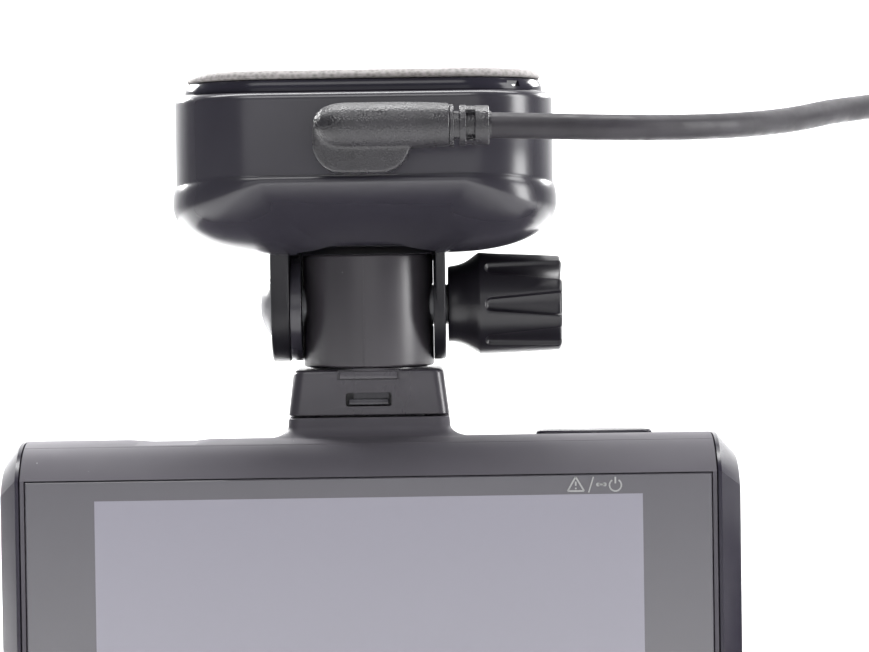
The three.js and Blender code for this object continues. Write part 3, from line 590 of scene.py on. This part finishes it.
def crease(y):
    part = max(0.0, abs(y) - (BASE_HALF - BASE_CORNER)) / BASE_CORNER
    return CREASE_SIDE + (CREASE_FRONT - CREASE_SIDE) * part ** 2


def ear(name, x0, x1):
    wide = EAR_RADIUS + 0.7
    outline = arc(0, HINGE_Z, EAR_RADIUS, 180, 360, 28) + [
        (wide - 0.2, HINGE_Z + 7.9), (wide, HINGE_Z + 8.4), (wide, HINGE_Z + 11),
        (-wide, HINGE_Z + 11), (-wide, HINGE_Z + 8.4), (-wide + 0.2, HINGE_Z + 7.9)]
    piece = prism(name, outline, "x", x0, x1)
    round_edges(piece, 0.3)
    bore = turned_about_hinge("bore", [(BOLT_BORE, x0 - 1), (BOLT_BORE, x1 + 1)], segments=40)
    return carve(piece, [bore])


def paint_ear_shade(piece):
    """The ears get painted shade: a darker material than the rest of the housing, for the shade under the
    base.
    """
    piece.data.materials.append(EAR_PAINTED_SHADE)
    for face in piece.data.polygons:
        x, y, z = face.center / MM
        if z < HINGE_Z + 7 and abs(y) < 8 and not EAR_LEFT[1] + 0.05 < x < EAR_RIGHT[0] - 0.4:
            face.material_index = len(piece.data.materials) - 1


def paint_gap_shade(piece, x0, x1):
    """Faces between x0 and x1 that look to the right, towards the knuckle, get painted shade: a dull
    near-black for the gap's shade.
    """
    piece.data.materials.append(GAP_SHADE)
    for face in piece.data.polygons:
        x, y, z = face.center / MM
        if x0 < x < x1 and abs(z - HINGE_Z) < 11.3 and face.normal.x > 0.9:
            face.material_index = len(piece.data.materials) - 1


def base_housing():
    outline = square(BASE_HALF, BASE_CORNER, 0)
    shares = [math.sin(math.radians(90 * i / 44)) for i in range(2, 44)] + [1.0]
    rings = [[(x * s, y * s, HINGE_Z + underside(x * s, y * s, s)) for x, y, _ in outline] for s in shares]
    step = BASE_HALF - WALL_HALF
    wall = square(WALL_HALF, BASE_CORNER - step, 0)
    rim = rings[-1]
    for part in (0.3, 0.6, 0.8, 0.92):
        inward = part ** 3
        rings.append([(x0 + (x1 - x0) * inward, y0 + (y1 - y0) * inward,
                       z0 + (HINGE_Z + crease(y1) - z0) * part)
                      for (x0, y0, z0), (x1, y1, _) in zip(rim, wall)])
    rings.append([(x, y, HINGE_Z + crease(y)) for x, y, _ in wall])
    rings.append([(x, y, HINGE_Z + crease(y) + 0.3) for x, y, _ in wall])
    for a in range(0, 91, 15):
        inset = WALL_ROUND * (1 - math.cos(math.radians(a)))
        height = HINGE_Z + HOUSING_TOP - WALL_ROUND * (1 - math.sin(math.radians(a)))
        rings.append(square(WALL_HALF - inset, BASE_CORNER - step - inset, height))
    piece = loft("base_casing", rings, SATIN)
    washer = box_mm("friction_washer")[1][0]
    right = box_mm("knuckle")[1][0] + 0.3
    recess = turned_about_hinge("recess", [(RECESS_RADIUS, washer), (RECESS_RADIUS, right)], segments=96)
    seat = turned_about_hinge("washer_seat", [(7.15, EAR_LEFT[1]), (7.15, washer + 0.3)], segments=96)
    hollow = loft("hollow", [square(21.1, 9.2, HINGE_Z + 17.6), square(21.1, 9.2, HINGE_Z + 40)])
    jack = turned("jack_hole", [(3.1, -30), (3.1, -20)], axis="y", centre=(0, 0, HINGE_Z + 21), segments=40)
    carve(piece, [recess, seat, hollow, jack])
    boss = turned_about_hinge("boss", [(6.8, right - 0.27), (6.9, right - 0.2), (6.9, right + 0.5)])
    carve(boss, [turned_about_hinge("bore", [(BOLT_BORE, 0), (BOLT_BORE, 20)])])
    lip = block("rear_lip", (EAR_LEFT[1] + 0.2, 8.4, HINGE_Z + 5.55),
                (EAR_RIGHT[0] - 0.02, 12.4, HINGE_Z + 8.6))
    carve(lip, [turned_about_hinge("lip_round", [(10.65, -11), (10.65, 11)], segments=128)])
    join(piece, [ear("ear", *EAR_LEFT), ear("ear", *EAR_RIGHT), boss, lip])
    # Painted shade: a darker skin on the ears and near-black on the faces beside the knuckle.
    paint_ear_shade(piece)
    paint_gap_shade(piece, EAR_LEFT[0] - 0.5, 0)
    soften(piece, 30)
    return place_piece(piece, "base", "satin_black", "base_housing")


def bezel():
    """Glossy plate between the housing and the pad, with a small pry slot at one corner."""
    z = HINGE_Z + HOUSING_TOP
    profile = [(21.9, 0.05), (21.95, 0.15), (21.95, 0.5), (21.7, 1.2), (21.5, 1.45), (21.2, 1.56),
               (20.6, 1.58)]
    piece = loft("bezel_plate", [square(half, half - 11.2, z + h) for half, h in profile], GLOSS)
    slot = block("slot", (-0.95, -1.2, z + 0.45), (0.95, 0.6, z + 1.15))
    corner = Matrix.Translation(Vector((18.4, -19.3, 0)) * MM)
    slot.data.transform(corner @ Matrix.Rotation(math.radians(38), 4, "Z"))
    carve(piece, [slot])
    soften(piece, 20)
    return place_piece(piece, "base", "gloss_black", "base_bezel")


def pad():
    z = HINGE_Z + 27.6
    profile = [(21.3, 0), (21.6, 0.12), (21.7, 0.35), (21.6, 0.6), (21.3, 0.85), (20.8, 1.03),
               (20, 1.12), (19, 1.15)]
    piece = loft("gel_pad", [square(half, half - 11.4, z + h) for half, h in profile], GEL)
    return place_piece(soften(piece, 60), "base", "gel_pad", "windscreen_pad")


def pivot_bolt():
    head = EAR_LEFT[0] - 0.1
    dome = [(0.3, head - 1.4), (1.2, head - 1.32), (2.1, head - 1.08), (2.9, head - 0.7), (3.5, head - 0.22),
            (3.78, head + 0.05), (3.8, head + 0.12), (3.6, head + 0.2)]
    shank = [(2.5, head + 0.22), (2.5, 18)]
    piece = turned_about_hinge("bolt", dome + shank, BOLT, segments=64)
    return place_piece(soften(piece, 50), "base", "steel", "pivot_bolt")


def friction_washer():
    low, high = box_mm("friction_washer")
    profile = bead(6.85, low[0] - 0.25, high[0] + 0.33, 0.12)
    piece = turned_about_hinge("washer", profile, SATIN, segments=64)
    carve(piece, [turned_about_hinge("bore", [(BOLT_BORE, -12), (BOLT_BORE, -7)])])
    # Painted shade on the washer's face towards the knuckle.
    paint_gap_shade(piece, -10, -8)
    return place_piece(soften(piece), "base", "satin_black", "friction_washer")


# ------------------------------------------------------------------ knob and knuckle
KNOB_PROFILE = [(4.4, 10.05), (4.72, 10.12), (4.8, 10.4), (4.86, 10.9), (5.0, 11.5), (5.22, 12.1),
                (5.5, 12.6), (5.85, 13.1), (6.15, 13.5), (6.36, 13.8), (6.45, 14.0)]
KNOB_GRIP, KNOB_GRIP_RADIUS = 14.0, 6.46   # where the fluted grip starts, and its radius there
KNOB_END = 24.3
KNOB_END_RADIUS = 6.12
FLUTES = 8
FLUTE_START = 14.6
FLUTE_DEPTH = 0.5


def smooth_step(x):
    x = min(1.0, max(0.0, x))
    return x * x * (3 - 2 * x)


def knob_ring(x, inset=0.0):
    """One section of the grip: its points follow the floor, sides and crest of each flute."""
    grip = KNOB_GRIP_RADIUS + (KNOB_END_RADIUS - KNOB_GRIP_RADIUS) * (x - KNOB_GRIP) / (KNOB_END - KNOB_GRIP)
    along = x - FLUTE_START
    half = 0.8 + 0.85 * along / (KNOB_END - FLUTE_START)
    start = half * 0.9
    share = min(1.0, max(0.0, along / start))
    half = max(0.05, half * math.sqrt(1 - (1 - share) ** 2))
    depth = FLUTE_DEPTH * smooth_step(share * 1.6)
    side = min(0.3, half * 0.45)
    pitch = TAU / FLUTES
    across = [(-half - side * 0.15, 0), (-half, 0.06), (-half + side * 0.35, 0.4),
              (-half + side * 0.7, 0.85), (-half + side, 1), (0, 1.08), (half - side, 1),
              (half - side * 0.7, 0.85), (half - side * 0.35, 0.4), (half, 0.06), (half + side * 0.15, 0)]
    points = []
    for flute in range(FLUTES):
        middle = flute * pitch
        for offset, share_down in across:
            points.append((middle + offset / grip, grip - depth * share_down - inset))
        rest = middle + (half + side * 0.15) / grip
        gap = pitch - 2 * (half + side * 0.15) / grip
        points += [(rest + gap * k / 8, grip - inset) for k in range(1, 8)]
    return [(x, r * math.cos(a), HINGE_Z + r * math.sin(a)) for a, r in points]


def knob():
    rim = 0.5
    angles = [math.atan2(z - HINGE_Z, y) for _, y, z in knob_ring(14.05)]
    rings = [[(x, r * math.cos(a), HINGE_Z + r * math.sin(a)) for a in angles] for r, x in KNOB_PROFILE]
    stations = [14.05 + 0.09 * i for i in range(28)] + [16.6 + 0.36 * i for i in range(20)]
    ends = [(KNOB_END - rim + rim * math.sin(math.radians(a)), rim * (1 - math.cos(math.radians(a))))
            for a in (0, 22, 45, 68, 90)]
    rings += [knob_ring(x) for x in stations if x < KNOB_END - rim]
    rings += [knob_ring(x, inset) for x, inset in ends]
    piece = loft("clamp_knob_grip", rings, KNOB)
    bore = turned_about_hinge("bore", [(4.3, 9), (4.3, 18.4)], segments=48)
    dish = turned_about_hinge("dish", [(3.9, KNOB_END - 0.5), (4.3, KNOB_END + 1)], segments=64)
    carve(piece, [bore, dish])
    return place_piece(soften(piece, 40), "knob", "knob_black", "clamp_knob")


def knuckle():
    low, high = box_mm("knuckle")
    radius = (high[0] - low[0]) / 2
    piece = turned("knuckle_barrel", bead(radius, low[2], high[2], 0.3, 5), BARREL, segments=128)
    bore = turned_about_hinge("bore", [(BOLT_BORE, -12), (BOLT_BORE, 12)], segments=48)
    screw = turned("screw_bore", [(1.8, low[2] - 1), (1.8, low[2] + 4.4)], segments=32)
    carve(piece, [bore, screw])
    seam = block("mould_seam", (-0.55, -radius - 0.03, low[2] + 0.3), (-0.4, -radius + 0.3, high[2] - 0.3))
    join(piece, [seam])
    return place_piece(soften(piece), "knuckle", "satin_black", "knuckle")


# ------------------------------------------------------------------ foot
FOOT_HALF_DEPTH = 7.5


def foot_ring(half_width, half_depth, z, corner=1.5):
    return [(x, y, z) for x, y in rounded(-half_width, half_width, -half_depth, half_depth, corner, 8)]


def foot():
    top, bottom = box_mm("foot")[1][2], HINGE_Z - 13.55
    height = top - bottom
    rings = []
    levels = ((0, 0.12), (0.12, 0), (height - 0.45, 0), (height - 0.2, 0.1), (height - 0.06, 0.26),
              (height, 0.5))
    for z, inset in levels:
        half = 10 - 0.7 * z / height - inset
        rings.append(foot_ring(half, FOOT_HALF_DEPTH - inset, bottom + z, 1.5))
    piece = loft("foot_block", rings, FOOT_GLOSS)
    z0, z1 = HINGE_Z - 12.45, HINGE_Z - 10.75
    window = prism("window", rounded(-2.85, 2.85, z0, z1, 0.35, 5), "y", -4.9, -9)
    notch = prism("notch", [(-3.9, top - 1.25), (3.9, top - 1.25), (3.75, top + 1), (-3.75, top + 1)], "y",
                  -FOOT_HALF_DEPTH + 0.28, -9)
    bore = turned("bore", [(1.9, top - 4), (1.9, top + 1)], segments=32)
    low_bore = turned("low_bore", [(3.5, bottom - 9), (3.5, HINGE_Z - 11.3)], segments=48)
    tongue = block("tongue", (-6.8, -4.4, box_mm("foot")[0][2]), (6.8, 4.4, bottom + 0.3))
    round_edges(tongue, 0.3)
    carve(tongue, [turned("tongue_bore", [(3.5, bottom - 12), (3.5, bottom + 5)], segments=48)])
    carve(piece, [window, notch, bore, low_bore])
    tab = prism("tab", rounded(-3.6, 3.6, top - 1.12, top - 0.2, 0.15, 3), "y", -FOOT_HALF_DEPTH + 0.1, -6.8)
    round_edges(tab, 0.08, 2)
    boss = turned("swivel_boss", [(7.4, top - 0.2), (7.4, top + 0.15), (7.25, top + 0.22)], segments=96)
    carve(boss, [turned("boss_bore", [(1.9, top - 2), (1.9, top + 1)], segments=32)])
    join(piece, [tongue, tab, boss])
    return place_piece(soften(piece), "foot", "gloss_black", "foot")


def latch():
    low, high = box_mm("release_latch")
    piece = block("latch_tongue", low, (high[0], high[1], high[2] - 0.75), SATIN)
    round_edges(piece, 0.12, 2)
    join(piece, [block("latch_root", (low[0] + 0.6, high[1] - 0.2, high[2] - 0.9), high)])
    return place_piece(soften(piece), "latch", "satin_black", "release_latch")


# ------------------------------------------------------------------ detector unit
UNIT_TOP = 53.8
UNIT_DEPTH = 19.0
CASE_HALF = box_mm("rear_case")[1][0]
TRIM_HALF = box_mm("side_trim_right")[1][0]
PARTING_Y = -13.4
CROWN_Y, CROWN_CURVE = -9, 160     # highest line of the top, and how slowly it falls away
CASE_WALL = 1.8
SCOOP = {"x": -24.95, "half_width": 6.5, "depth": 0.62, "ramp": 4.4, "front": -12.9, "rear": 4}
MARK_Y = (-19.055, -19.09)         # back and face of the marks printed on the glass


def curve_points(p0, p1, p2, steps):
    """A quadratic curve from p0 to p2, without its first point."""
    out = []
    for i in range(1, steps + 1):
        t = i / steps
        out.append(tuple((1 - t) ** 2 * a + 2 * t * (1 - t) * b + t * t * c for a, b, c in zip(p0, p1, p2)))
    return out


def top_height(y):
    return UNIT_TOP - (y - CROWN_Y) ** 2 / CROWN_CURVE


def unit_outline(inset=0.0):
    """Side view (Y, Z): a rounded edge over the glass, a crowned top and a back that leans forward."""
    d, top, low = UNIT_DEPTH - inset, UNIT_TOP - inset, inset
    rear = top_height(6) - inset
    points = [(-d + 3.2, low), (d - 3, low)]
    points += curve_points((d - 3, low), (d, low), (d, low + 3), 6)
    points += [(d, 20), (d, 38)]
    points += curve_points((d, 38), (d, rear - 0.1875 * (d - 6)), (6, rear), 22)
    points += curve_points((6, rear), (-1.5, top), (-9, top), 12)
    points += curve_points((-9, top), (-15.6 + inset * 0.6, top), (-d, UNIT_TOP - 4.25 - inset * 0.7), 18)
    points += [(-d, 3.4 + inset * 0.7)]
    return points


def unit_prism(name, x0, x1, inset, *materials):
    return prism(name, unit_outline(inset), "x", x0, x1, *materials)


def rear_case():
    piece = unit_prism("rear_shell", -CASE_HALF, CASE_HALF, 0, SOFT_TOUCH)
    inner = unit_prism("inner", -CASE_HALF + CASE_WALL, CASE_HALF - CASE_WALL, CASE_WALL)
    front = block("front", (-60, -40, -10), (60, PARTING_Y + 0.04, 80))
    carve(piece, [front, inner])
    half = SCOOP["half_width"]
    across = [-half + 2 * half * i / 40 for i in range(41)]
    dip = [(SCOOP["x"] + u, UNIT_TOP - SCOOP["depth"] * smooth_step((half - abs(u)) / SCOOP["ramp"]))
           for u in across]
    dip += [(SCOOP["x"] + half + 0.15, UNIT_TOP + 1), (SCOOP["x"] - half - 0.15, UNIT_TOP + 1)]
    scoop = prism("scoop", dip, "y", SCOOP["rear"], SCOOP["front"])
    button = box_mm("top_button")
    hole = prism("button_hole", rounded(button[0][0] - 0.25, button[1][0] + 0.25, button[0][1] - 0.25,
                                        button[1][1] + 0.25, 1.2), "z", UNIT_TOP - 4, UNIT_TOP + 4)
    lens = box_mm("camera_lens")
    lens_x, lens_z = (lens[0][0] + lens[1][0]) / 2, (lens[0][2] + lens[1][2]) / 2
    lens_hole = turned("lens_hole", [(7.25, 10), (7.25, 18.2), (8.3, 19.4)], axis="y",
                       centre=(lens_x, 0, lens_z))
    low, high = box_mm("sensor_window")
    around = rounded(low[0] - 0.2, high[0] + 0.2, low[2] - 0.2, high[2] + 0.2, 2.9)
    sensor = prism("sensor_hole", around, "y", 30, 15)
    low, high = box_mm("memory_card")
    card = block("card_slot", (36, low[1] - 0.5, low[2] - 0.5), (50, high[1] + 0.5, high[2] + 0.5))
    slots = [prism("slot", rounded(-7, 7, 8.3 + 2.2 * i, 9.3 + 2.2 * i, 0.49, 6), "y", 30, 15)
             for i in range(5)]
    screws = []
    for i in range(1, 5):
        low, high = box_mm(f"unit_screw_{i}")
        centre = ((low[0] + high[0]) / 2, 0, (low[2] + high[2]) / 2)
        screws.append(turned("screw_hole", [(2.4, 14.9), (2.4, 19.5)], axis="y", centre=centre, segments=40))
    pocket = block("pocket", (-7.2, -4.8, 48), (7.2, 5.4, 60))
    carve(piece, [scoop, hole, lens_hole, sensor, card] + slots + screws)
    top = neck()
    carve(top, [pocket])
    rim = block("pocket_in_top", (-7.2, -4.8, 40), (7.2, 5.4, UNIT_TOP + 0.5))
    carve(piece, [rim])
    join(piece, [top])
    return place_piece(soften(piece, 30), "unit", "soft_touch_housing", "rear_case")


def neck():
    """The raised neck that flares out of the crowned top in a shallow cove."""
    out, rise = 2.6, 1.4

    def flare(spread, height):
        ring = foot_ring(10.1 + spread, FOOT_HALF_DEPTH + 0.9 * spread, 0, 1.5 + spread * 0.5)
        return [(x, y, top_height(y) + height) for x, y, _ in ring]

    rings = [flare(out, -1.0)]
    for i in range(15):
        a = math.radians(90 * i / 14)
        rings.append(flare(out * (1 - math.sin(a)), rise * (1 - math.cos(a)) - 0.02))
    rings.append(foot_ring(10.02, FOOT_HALF_DEPTH, HINGE_Z - 13.95, 1.5))
    rings.append(foot_ring(9.9, FOOT_HALF_DEPTH - 0.12, HINGE_Z - 13.82, 1.5))
    return loft("neck", rings, SOFT_TOUCH)


def screen_frame():
    piece = unit_prism("front_frame", -CASE_HALF, CASE_HALF, 0, SOFT_TOUCH)
    low, high = box_mm("screen_glass")
    back = block("back", (-60, PARTING_Y - 0.04, -10), (60, 40, 80))
    pocket = block("pocket", (low[0] - 0.12, -30, low[2] - 0.12), (high[0] + 0.12, -17.4, high[2] + 0.12))
    opening = block("opening", (-36, -30, 7), (36, 0, 48.4))
    inner = unit_prism("inner", -CASE_HALF + CASE_WALL, CASE_HALF - CASE_WALL, CASE_WALL)
    carve(inner, [block("ledge", (-60, -40, -10), (60, -16.8, 80))])
    carve(piece, [back, pocket, opening, inner])
    return place_piece(soften(piece, 30), "unit", "soft_touch_housing", "screen_frame")


def side_trim(side, name, node):
    """Glossy end cap whose outer edges are cut to broad facets."""
    outer = TRIM_HALF + (0.35 if side > 0 else 0)
    stations = ((CASE_HALF + 0.12, 0.2), (CASE_HALF + 0.2, 0.0), (CASE_HALF + 0.62, 0.0),
                (CASE_HALF + 0.72, 0.12), (outer - 0.3, 2.5), (outer - 0.1, 2.85), (outer, 3.4))
    rings = [[(side * x, y, z) for y, z in unit_outline(inset)] for x, inset in stations]
    piece = loft(name, rings, TRIM)
    if side > 0:
        low, high = box_mm("memory_card")
        slot = block("card_slot", (40, low[1] - 0.5, low[2] - 0.65), (50, high[1] + 0.5, high[2] + 0.65))
        carve(piece, [slot])
    return place_piece(soften(piece, 14), "unit", "gloss_black", node)


SCREEN = {"half_width": 33.2, "bottom": 9.6, "top": 47.0}


def glass_material(name, colour, roughness):
    n = Nodes(name)
    smear = n.noise(14, 4, (1, 1, 0.5))
    n.set(Base_Color=n.mix(n.ramp(smear, 0.3, 0.7, 0, 1), shade(colour, 0.97), shade(colour, 1.03)))
    n.set(Roughness=n.ramp(smear, 0.3, 0.75, roughness, roughness + 0.05))
    n.set(Coat_Weight=1.0, Coat_Roughness=0.02)
    n.set(Specular_IOR_Level=0.4, Normal=n.bump(n.noise(20, 2), 0.01))
    return n.material


def display_material():
    """An unlit panel under the glass: a faint grid of picture elements and a slow fall in tone."""
    n = Nodes("display")
    cells = n.add("ShaderNodeTexBrick", {"Vector": n.place, "Scale": 3600.0}).outputs["Fac"]
    height = n.add("ShaderNodeSeparateXYZ", {"Vector": n.place}).outputs["Z"]
    fall = n.ramp(height, SCREEN["bottom"] * MM, SCREEN["top"] * MM, 0, 1)
    tone = n.mix(fall, (0.178, 0.172, 0.208, 1), (0.166, 0.16, 0.195, 1))
    n.set(Base_Color=n.mix(n.math("MULTIPLY", cells, 0.12), tone, shade((0.15, 0.15, 0.18), 0.8)))
    n.set(Roughness=0.28, Coat_Weight=1.0, Coat_Roughness=0.02)
    return n.material


def screen_glass():
    """The pane, with its printed border and the clear window over the display."""
    low, high = box_mm("screen_glass")
    y0, y1 = -19.05, high[1]
    s = SCREEN
    outer = [(low[0], low[2]), (high[0], low[2]), (high[0], high[2]), (low[0], high[2])]
    window = [(-s["half_width"], s["bottom"]), (s["half_width"], s["bottom"]), (s["half_width"], s["top"]),
              (-s["half_width"], s["top"])]
    edge = 0.14
    inset = [(x - math.copysign(edge, x), z + (edge if z < 20 else -edge)) for x, z in outer]
    verts = [(x, y0, z) for x, z in window + inset] + [(x, y0 + edge, z) for x, z in outer]
    verts += [(x, y1, z) for x, z in outer]
    faces = [(0, 1, 2, 3), (12, 15, 14, 13)]
    for i in range(4):
        j = (i + 1) % 4
        faces += [(4 + i, 4 + j, j, i), (8 + i, 8 + j, 4 + j, 4 + i), (12 + i, 12 + j, 8 + j, 8 + i)]
    piece = make("glass_pane", verts, faces, glass_material("glass_border", (0.058, 0.055, 0.065), 0.16),
                 display_material())
    piece.data.polygons[0].material_index = 1
    soften(piece, 20)
    return place_piece(piece, "unit", "screen_glass", "screen_glass")


def stroke(name, path, width, closed=False):
    """A flat printed line on the glass, along a path in (X, Z)."""
    pieces = []
    pairs = list(zip(path, path[1:] + path[:1] if closed else path[1:]))
    for (x0, z0), (x1, z1) in pairs:
        length = math.hypot(x1 - x0, z1 - z0)
        nx, nz = -(z1 - z0) / length * width / 2, (x1 - x0) / length * width / 2
        outline = [(x0 - nx, z0 - nz), (x1 - nx, z1 - nz), (x1 + nx, z1 + nz), (x0 + nx, z0 + nz)]
        pieces.append(prism(name, outline, "y", *MARK_Y))
    return pieces


def screen_icons():
    """Generic marks for the button below it: triangle with a dot, slash, link and power."""
    x, z = 25.1, 48.15
    parts = stroke("mark", [(x - 1.0, z - 0.75), (x + 1.0, z - 0.75), (x, z + 0.95)], 0.2, closed=True)
    parts += stroke("mark", [(x, z + 0.4), (x, z - 0.12)], 0.2)
    parts += stroke("mark", [(x, z - 0.34), (x, z - 0.54)], 0.2)
    parts += stroke("mark", [(x + 1.55, z - 0.95), (x + 2.15, z + 0.95)], 0.16)
    parts += stroke("mark", [(x + 2.75, z), (x + 3.5, z)], 0.22)
    for end in (2.7, 3.5):
        parts += [prism("mark", arc(x + end, z, 0.24, 0, 345, 14), "y", *MARK_Y)]
    ring = arc(x + 4.8, z - 0.1, 0.72, 122, 418, 22)
    parts += stroke("mark", ring, 0.19)
    parts += stroke("mark", [(x + 4.8, z + 0.9), (x + 4.8, z + 0.1)], 0.2)
    ink = Nodes("icon_ink")
    ink.set(Base_Color=ink.mix(ink.noise(0.2), grey(0.2), grey(0.27)), Roughness=0.4)
    marks = join(parts[0], parts[1:])
    marks.name = "button_marks"
    marks.data.materials.clear()
    marks.data.materials.append(ink.material)
    return place_piece(soften(marks), "unit", "screen_glass")


def top_button():
    low, high = box_mm("top_button")
    outline = rounded(low[0], high[0], low[1], high[1], 1.0, 8)
    cx, cy = (low[0] + high[0]) / 2, (low[1] + high[1]) / 2
    rings = []
    levels = ((low[2], 0), (high[2] - 0.5, 0), (high[2] - 0.2, 0.06), (high[2] - 0.05, 0.2), (high[2], 0.4),
              (high[2] - 0.06, 0.75), (high[2] - 0.1, 1.2))
    for z, inset in levels:
        fx, fy = 1 - inset / (high[0] - cx), 1 - inset / (high[1] - cy)
        rings.append([(cx + (x - cx) * fx, cy + (y - cy) * fy, z) for x, y in outline])
    piece = loft("button_bar", rings, GLOSS)
    return place_piece(soften(piece), "button", "gloss_black", "top_button")


def camera_lens():
    low, high = box_mm("camera_lens")
    centre = ((low[0] + high[0]) / 2, 0, (low[2] + high[2]) / 2)
    tip = high[1]
    profile = [(6.9, 8), (7.0, 8.2), (7.0, tip - 0.4), (6.8, tip), (5.9, tip), (5.6, tip - 0.2),
               (4.6, tip - 1.6), (4.4, tip - 1.7), (3.9, tip - 1.2), (2.8, tip - 0.75), (1.4, tip - 0.5),
               (0.2, tip - 0.45)]
    piece = turned("lens_barrel", profile, GLOSS, axis="y", centre=centre, segments=96)
    knurl = []
    for a in (TAU * i / 48 for i in range(48)):
        rib = arc(centre[0] + 6.95 * math.cos(a), centre[2] + 6.95 * math.sin(a), 0.16, 0, 300, 5)
        knurl.append(prism("rib", rib, "y", tip - 0.7, tip - 2.1))
    join(piece, knurl)
    return place_piece(soften(piece), "unit", "gloss_black", "camera_lens")


def sensor_window():
    low, high = box_mm("sensor_window")
    rings = []
    levels = ((low[1], 0.3), (low[1] + 0.3, 0), (high[1] - 0.35, 0), (high[1] - 0.1, 0.1), (high[1], 0.35))
    for y, inset in levels:
        outline = rounded(low[0] + inset, high[0] - inset, low[2] + inset, high[2] - inset, 2.7 - inset)
        rings.append([(u, y, v) for u, v in outline])
    piece = loft("sensor_pane", rings, GLOSS)
    return place_piece(soften(piece), "unit", "gloss_black", "sensor_window")


def screw_head(node, axis, body):
    """A pan-head screw with a cross recess, in place of the plain one."""
    low, high = box_mm(node)
    centre = [(a + b) / 2 for a, b in zip(low, high)]
    index = "xyz".index(axis)
    end = high[index]
    length = end - low[index]
    place = tuple(0 if i == index else c for i, c in enumerate(centre))
    profile = [(0.3, end - length), (1.0, end - length + 0.8), (1.0, end - 0.95), (2.05, end - 0.9),
               (2.1, end - 0.45), (1.8, end - 0.12), (1.2, end), (0.3, end)]
    piece = turned(node + "_machined", profile, STEEL, axis=axis, centre=place, segments=36)
    cutters = []
    for wide, tall in ((1.1, 0.26), (0.26, 1.1)):
        low_c = [c - wide for c in place]
        high_c = [c + wide for c in place]
        other = [i for i in range(3) if i != index]
        low_c[other[1]], high_c[other[1]] = place[other[1]] - tall, place[other[1]] + tall
        low_c[index], high_c[index] = end - 0.55, end + 1
        cutters.append(block("cross", low_c, high_c))
    carve(piece, cutters)
    return place_piece(soften(piece), body, "steel", node)


PLAIN_NODES = {
    "base_board": BOARD, "gps_antenna": CERAMIC, "dc_jack": INNER, "power_plug_barrel": STEEL,
    "knob_nut": BRASS, "swivel_screw": STEEL, "foot_contacts": BRASS, "display_panel": INNER,
    "main_board": BOARD, "radar_horn": STEEL, "camera_module": INNER, "speaker": INNER,
    "battery_cell": FOIL, "contact_block": INNER, "button_switch": INNER, "card_socket": STEEL,
    "memory_card": INNER,
}


def dress_plain_nodes():
    """Nodes whose shape is already right get their material."""
    for name, material in PLAIN_NODES.items():
        node = frame["nodes"][name]
        for slot in node.material_slots:
            slot.link = "OBJECT"
            slot.material = material


base_housing()
bezel()
pad()
pivot_bolt()
friction_washer()
knob()
knuckle()
foot()
latch()
rear_case()
screen_frame()
side_trim(-1, "trim_left", "side_trim_left")
side_trim(1, "trim_right", "side_trim_right")
screen_glass()
screen_icons()
top_button()
camera_lens()
sensor_window()
for number in range(1, 5):
    screw_head(f"unit_screw_{number}", "y", "unit")
    screw_head(f"base_screw_{number}", "z", "base")
dress_plain_nodes()


# ------------------------------------------------------------------ stage and light
def make_stage():
    """A pale floor that sweeps up into a backdrop."""
    rings = []
    for y, z in ([(-1500, 0), (900, 0)] + arc(900, 500, 500, -90, 0, 12)[1:] + [(1400, 2200)]):
        rings.append([(-2500, y, z - 0.02), (2500, y, z - 0.02)])
    verts = [p for ring in rings for p in ring]
    faces = [(2 * i, 2 * i + 1, 2 * i + 3, 2 * i + 2) for i in range(len(rings) - 1)]
    floor = make("studio_floor", verts, faces)
    n = Nodes("studio_white")
    n.set(Base_Color=n.mix(n.noise(60, 2), grey(0.86), grey(0.88)), Roughness=0.9)
    floor.data.materials.append(n.material)
    for face in floor.data.polygons:
        face.use_smooth = True


def area_light(name, place, target, size, power):
    data = bpy.data.lights.new(name, "AREA")
    data.shape = "RECTANGLE"
    data.size, data.size_y = size[0] * MM, size[1] * MM
    data.energy = power
    light = bpy.data.objects.new(name, data)
    bpy.context.scene.collection.objects.link(light)
    place, target = Vector(place) * MM, Vector(target) * MM
    light.location = place
    light.rotation_euler = (target - place).to_track_quat("-Z", "Y").to_euler()


def make_world():
    world = bpy.data.worlds.new("studio")
    bpy.context.scene.world = world
    world.use_nodes = True
    background = world.node_tree.nodes["Background"]
    background.inputs["Color"].default_value = (0.93, 0.95, 1.0, 1)
    background.inputs["Strength"].default_value = 0.16


make_stage()
make_world()
area_light("key_soft", (-100, -580, 790), (0, 0, 70), (560, 260), 3.2)
area_light("top_soft", (-60, 160, 900), (0, 0, 60), (700, 500), 3.4)
area_light("right_strip", (570, -150, 190), (0, 0, 80), (190, 500), 4.5)
area_light("backdrop_glow", (0, 300, 1500), (0, 1300, 250), (2200, 600), 55)
area_light("floor_left", (-200, 230, 200), (-80, 80, 0), (150, 100), 3)
area_light("floor_right", (230, 230, 200), (100, 80, 0), (150, 100), 1.2)
area_light("front_fill", (-40, -950, 300), (0, 0, 70), (800, 420), 1.5)
bpy.context.scene.view_settings.view_transform = "Standard"
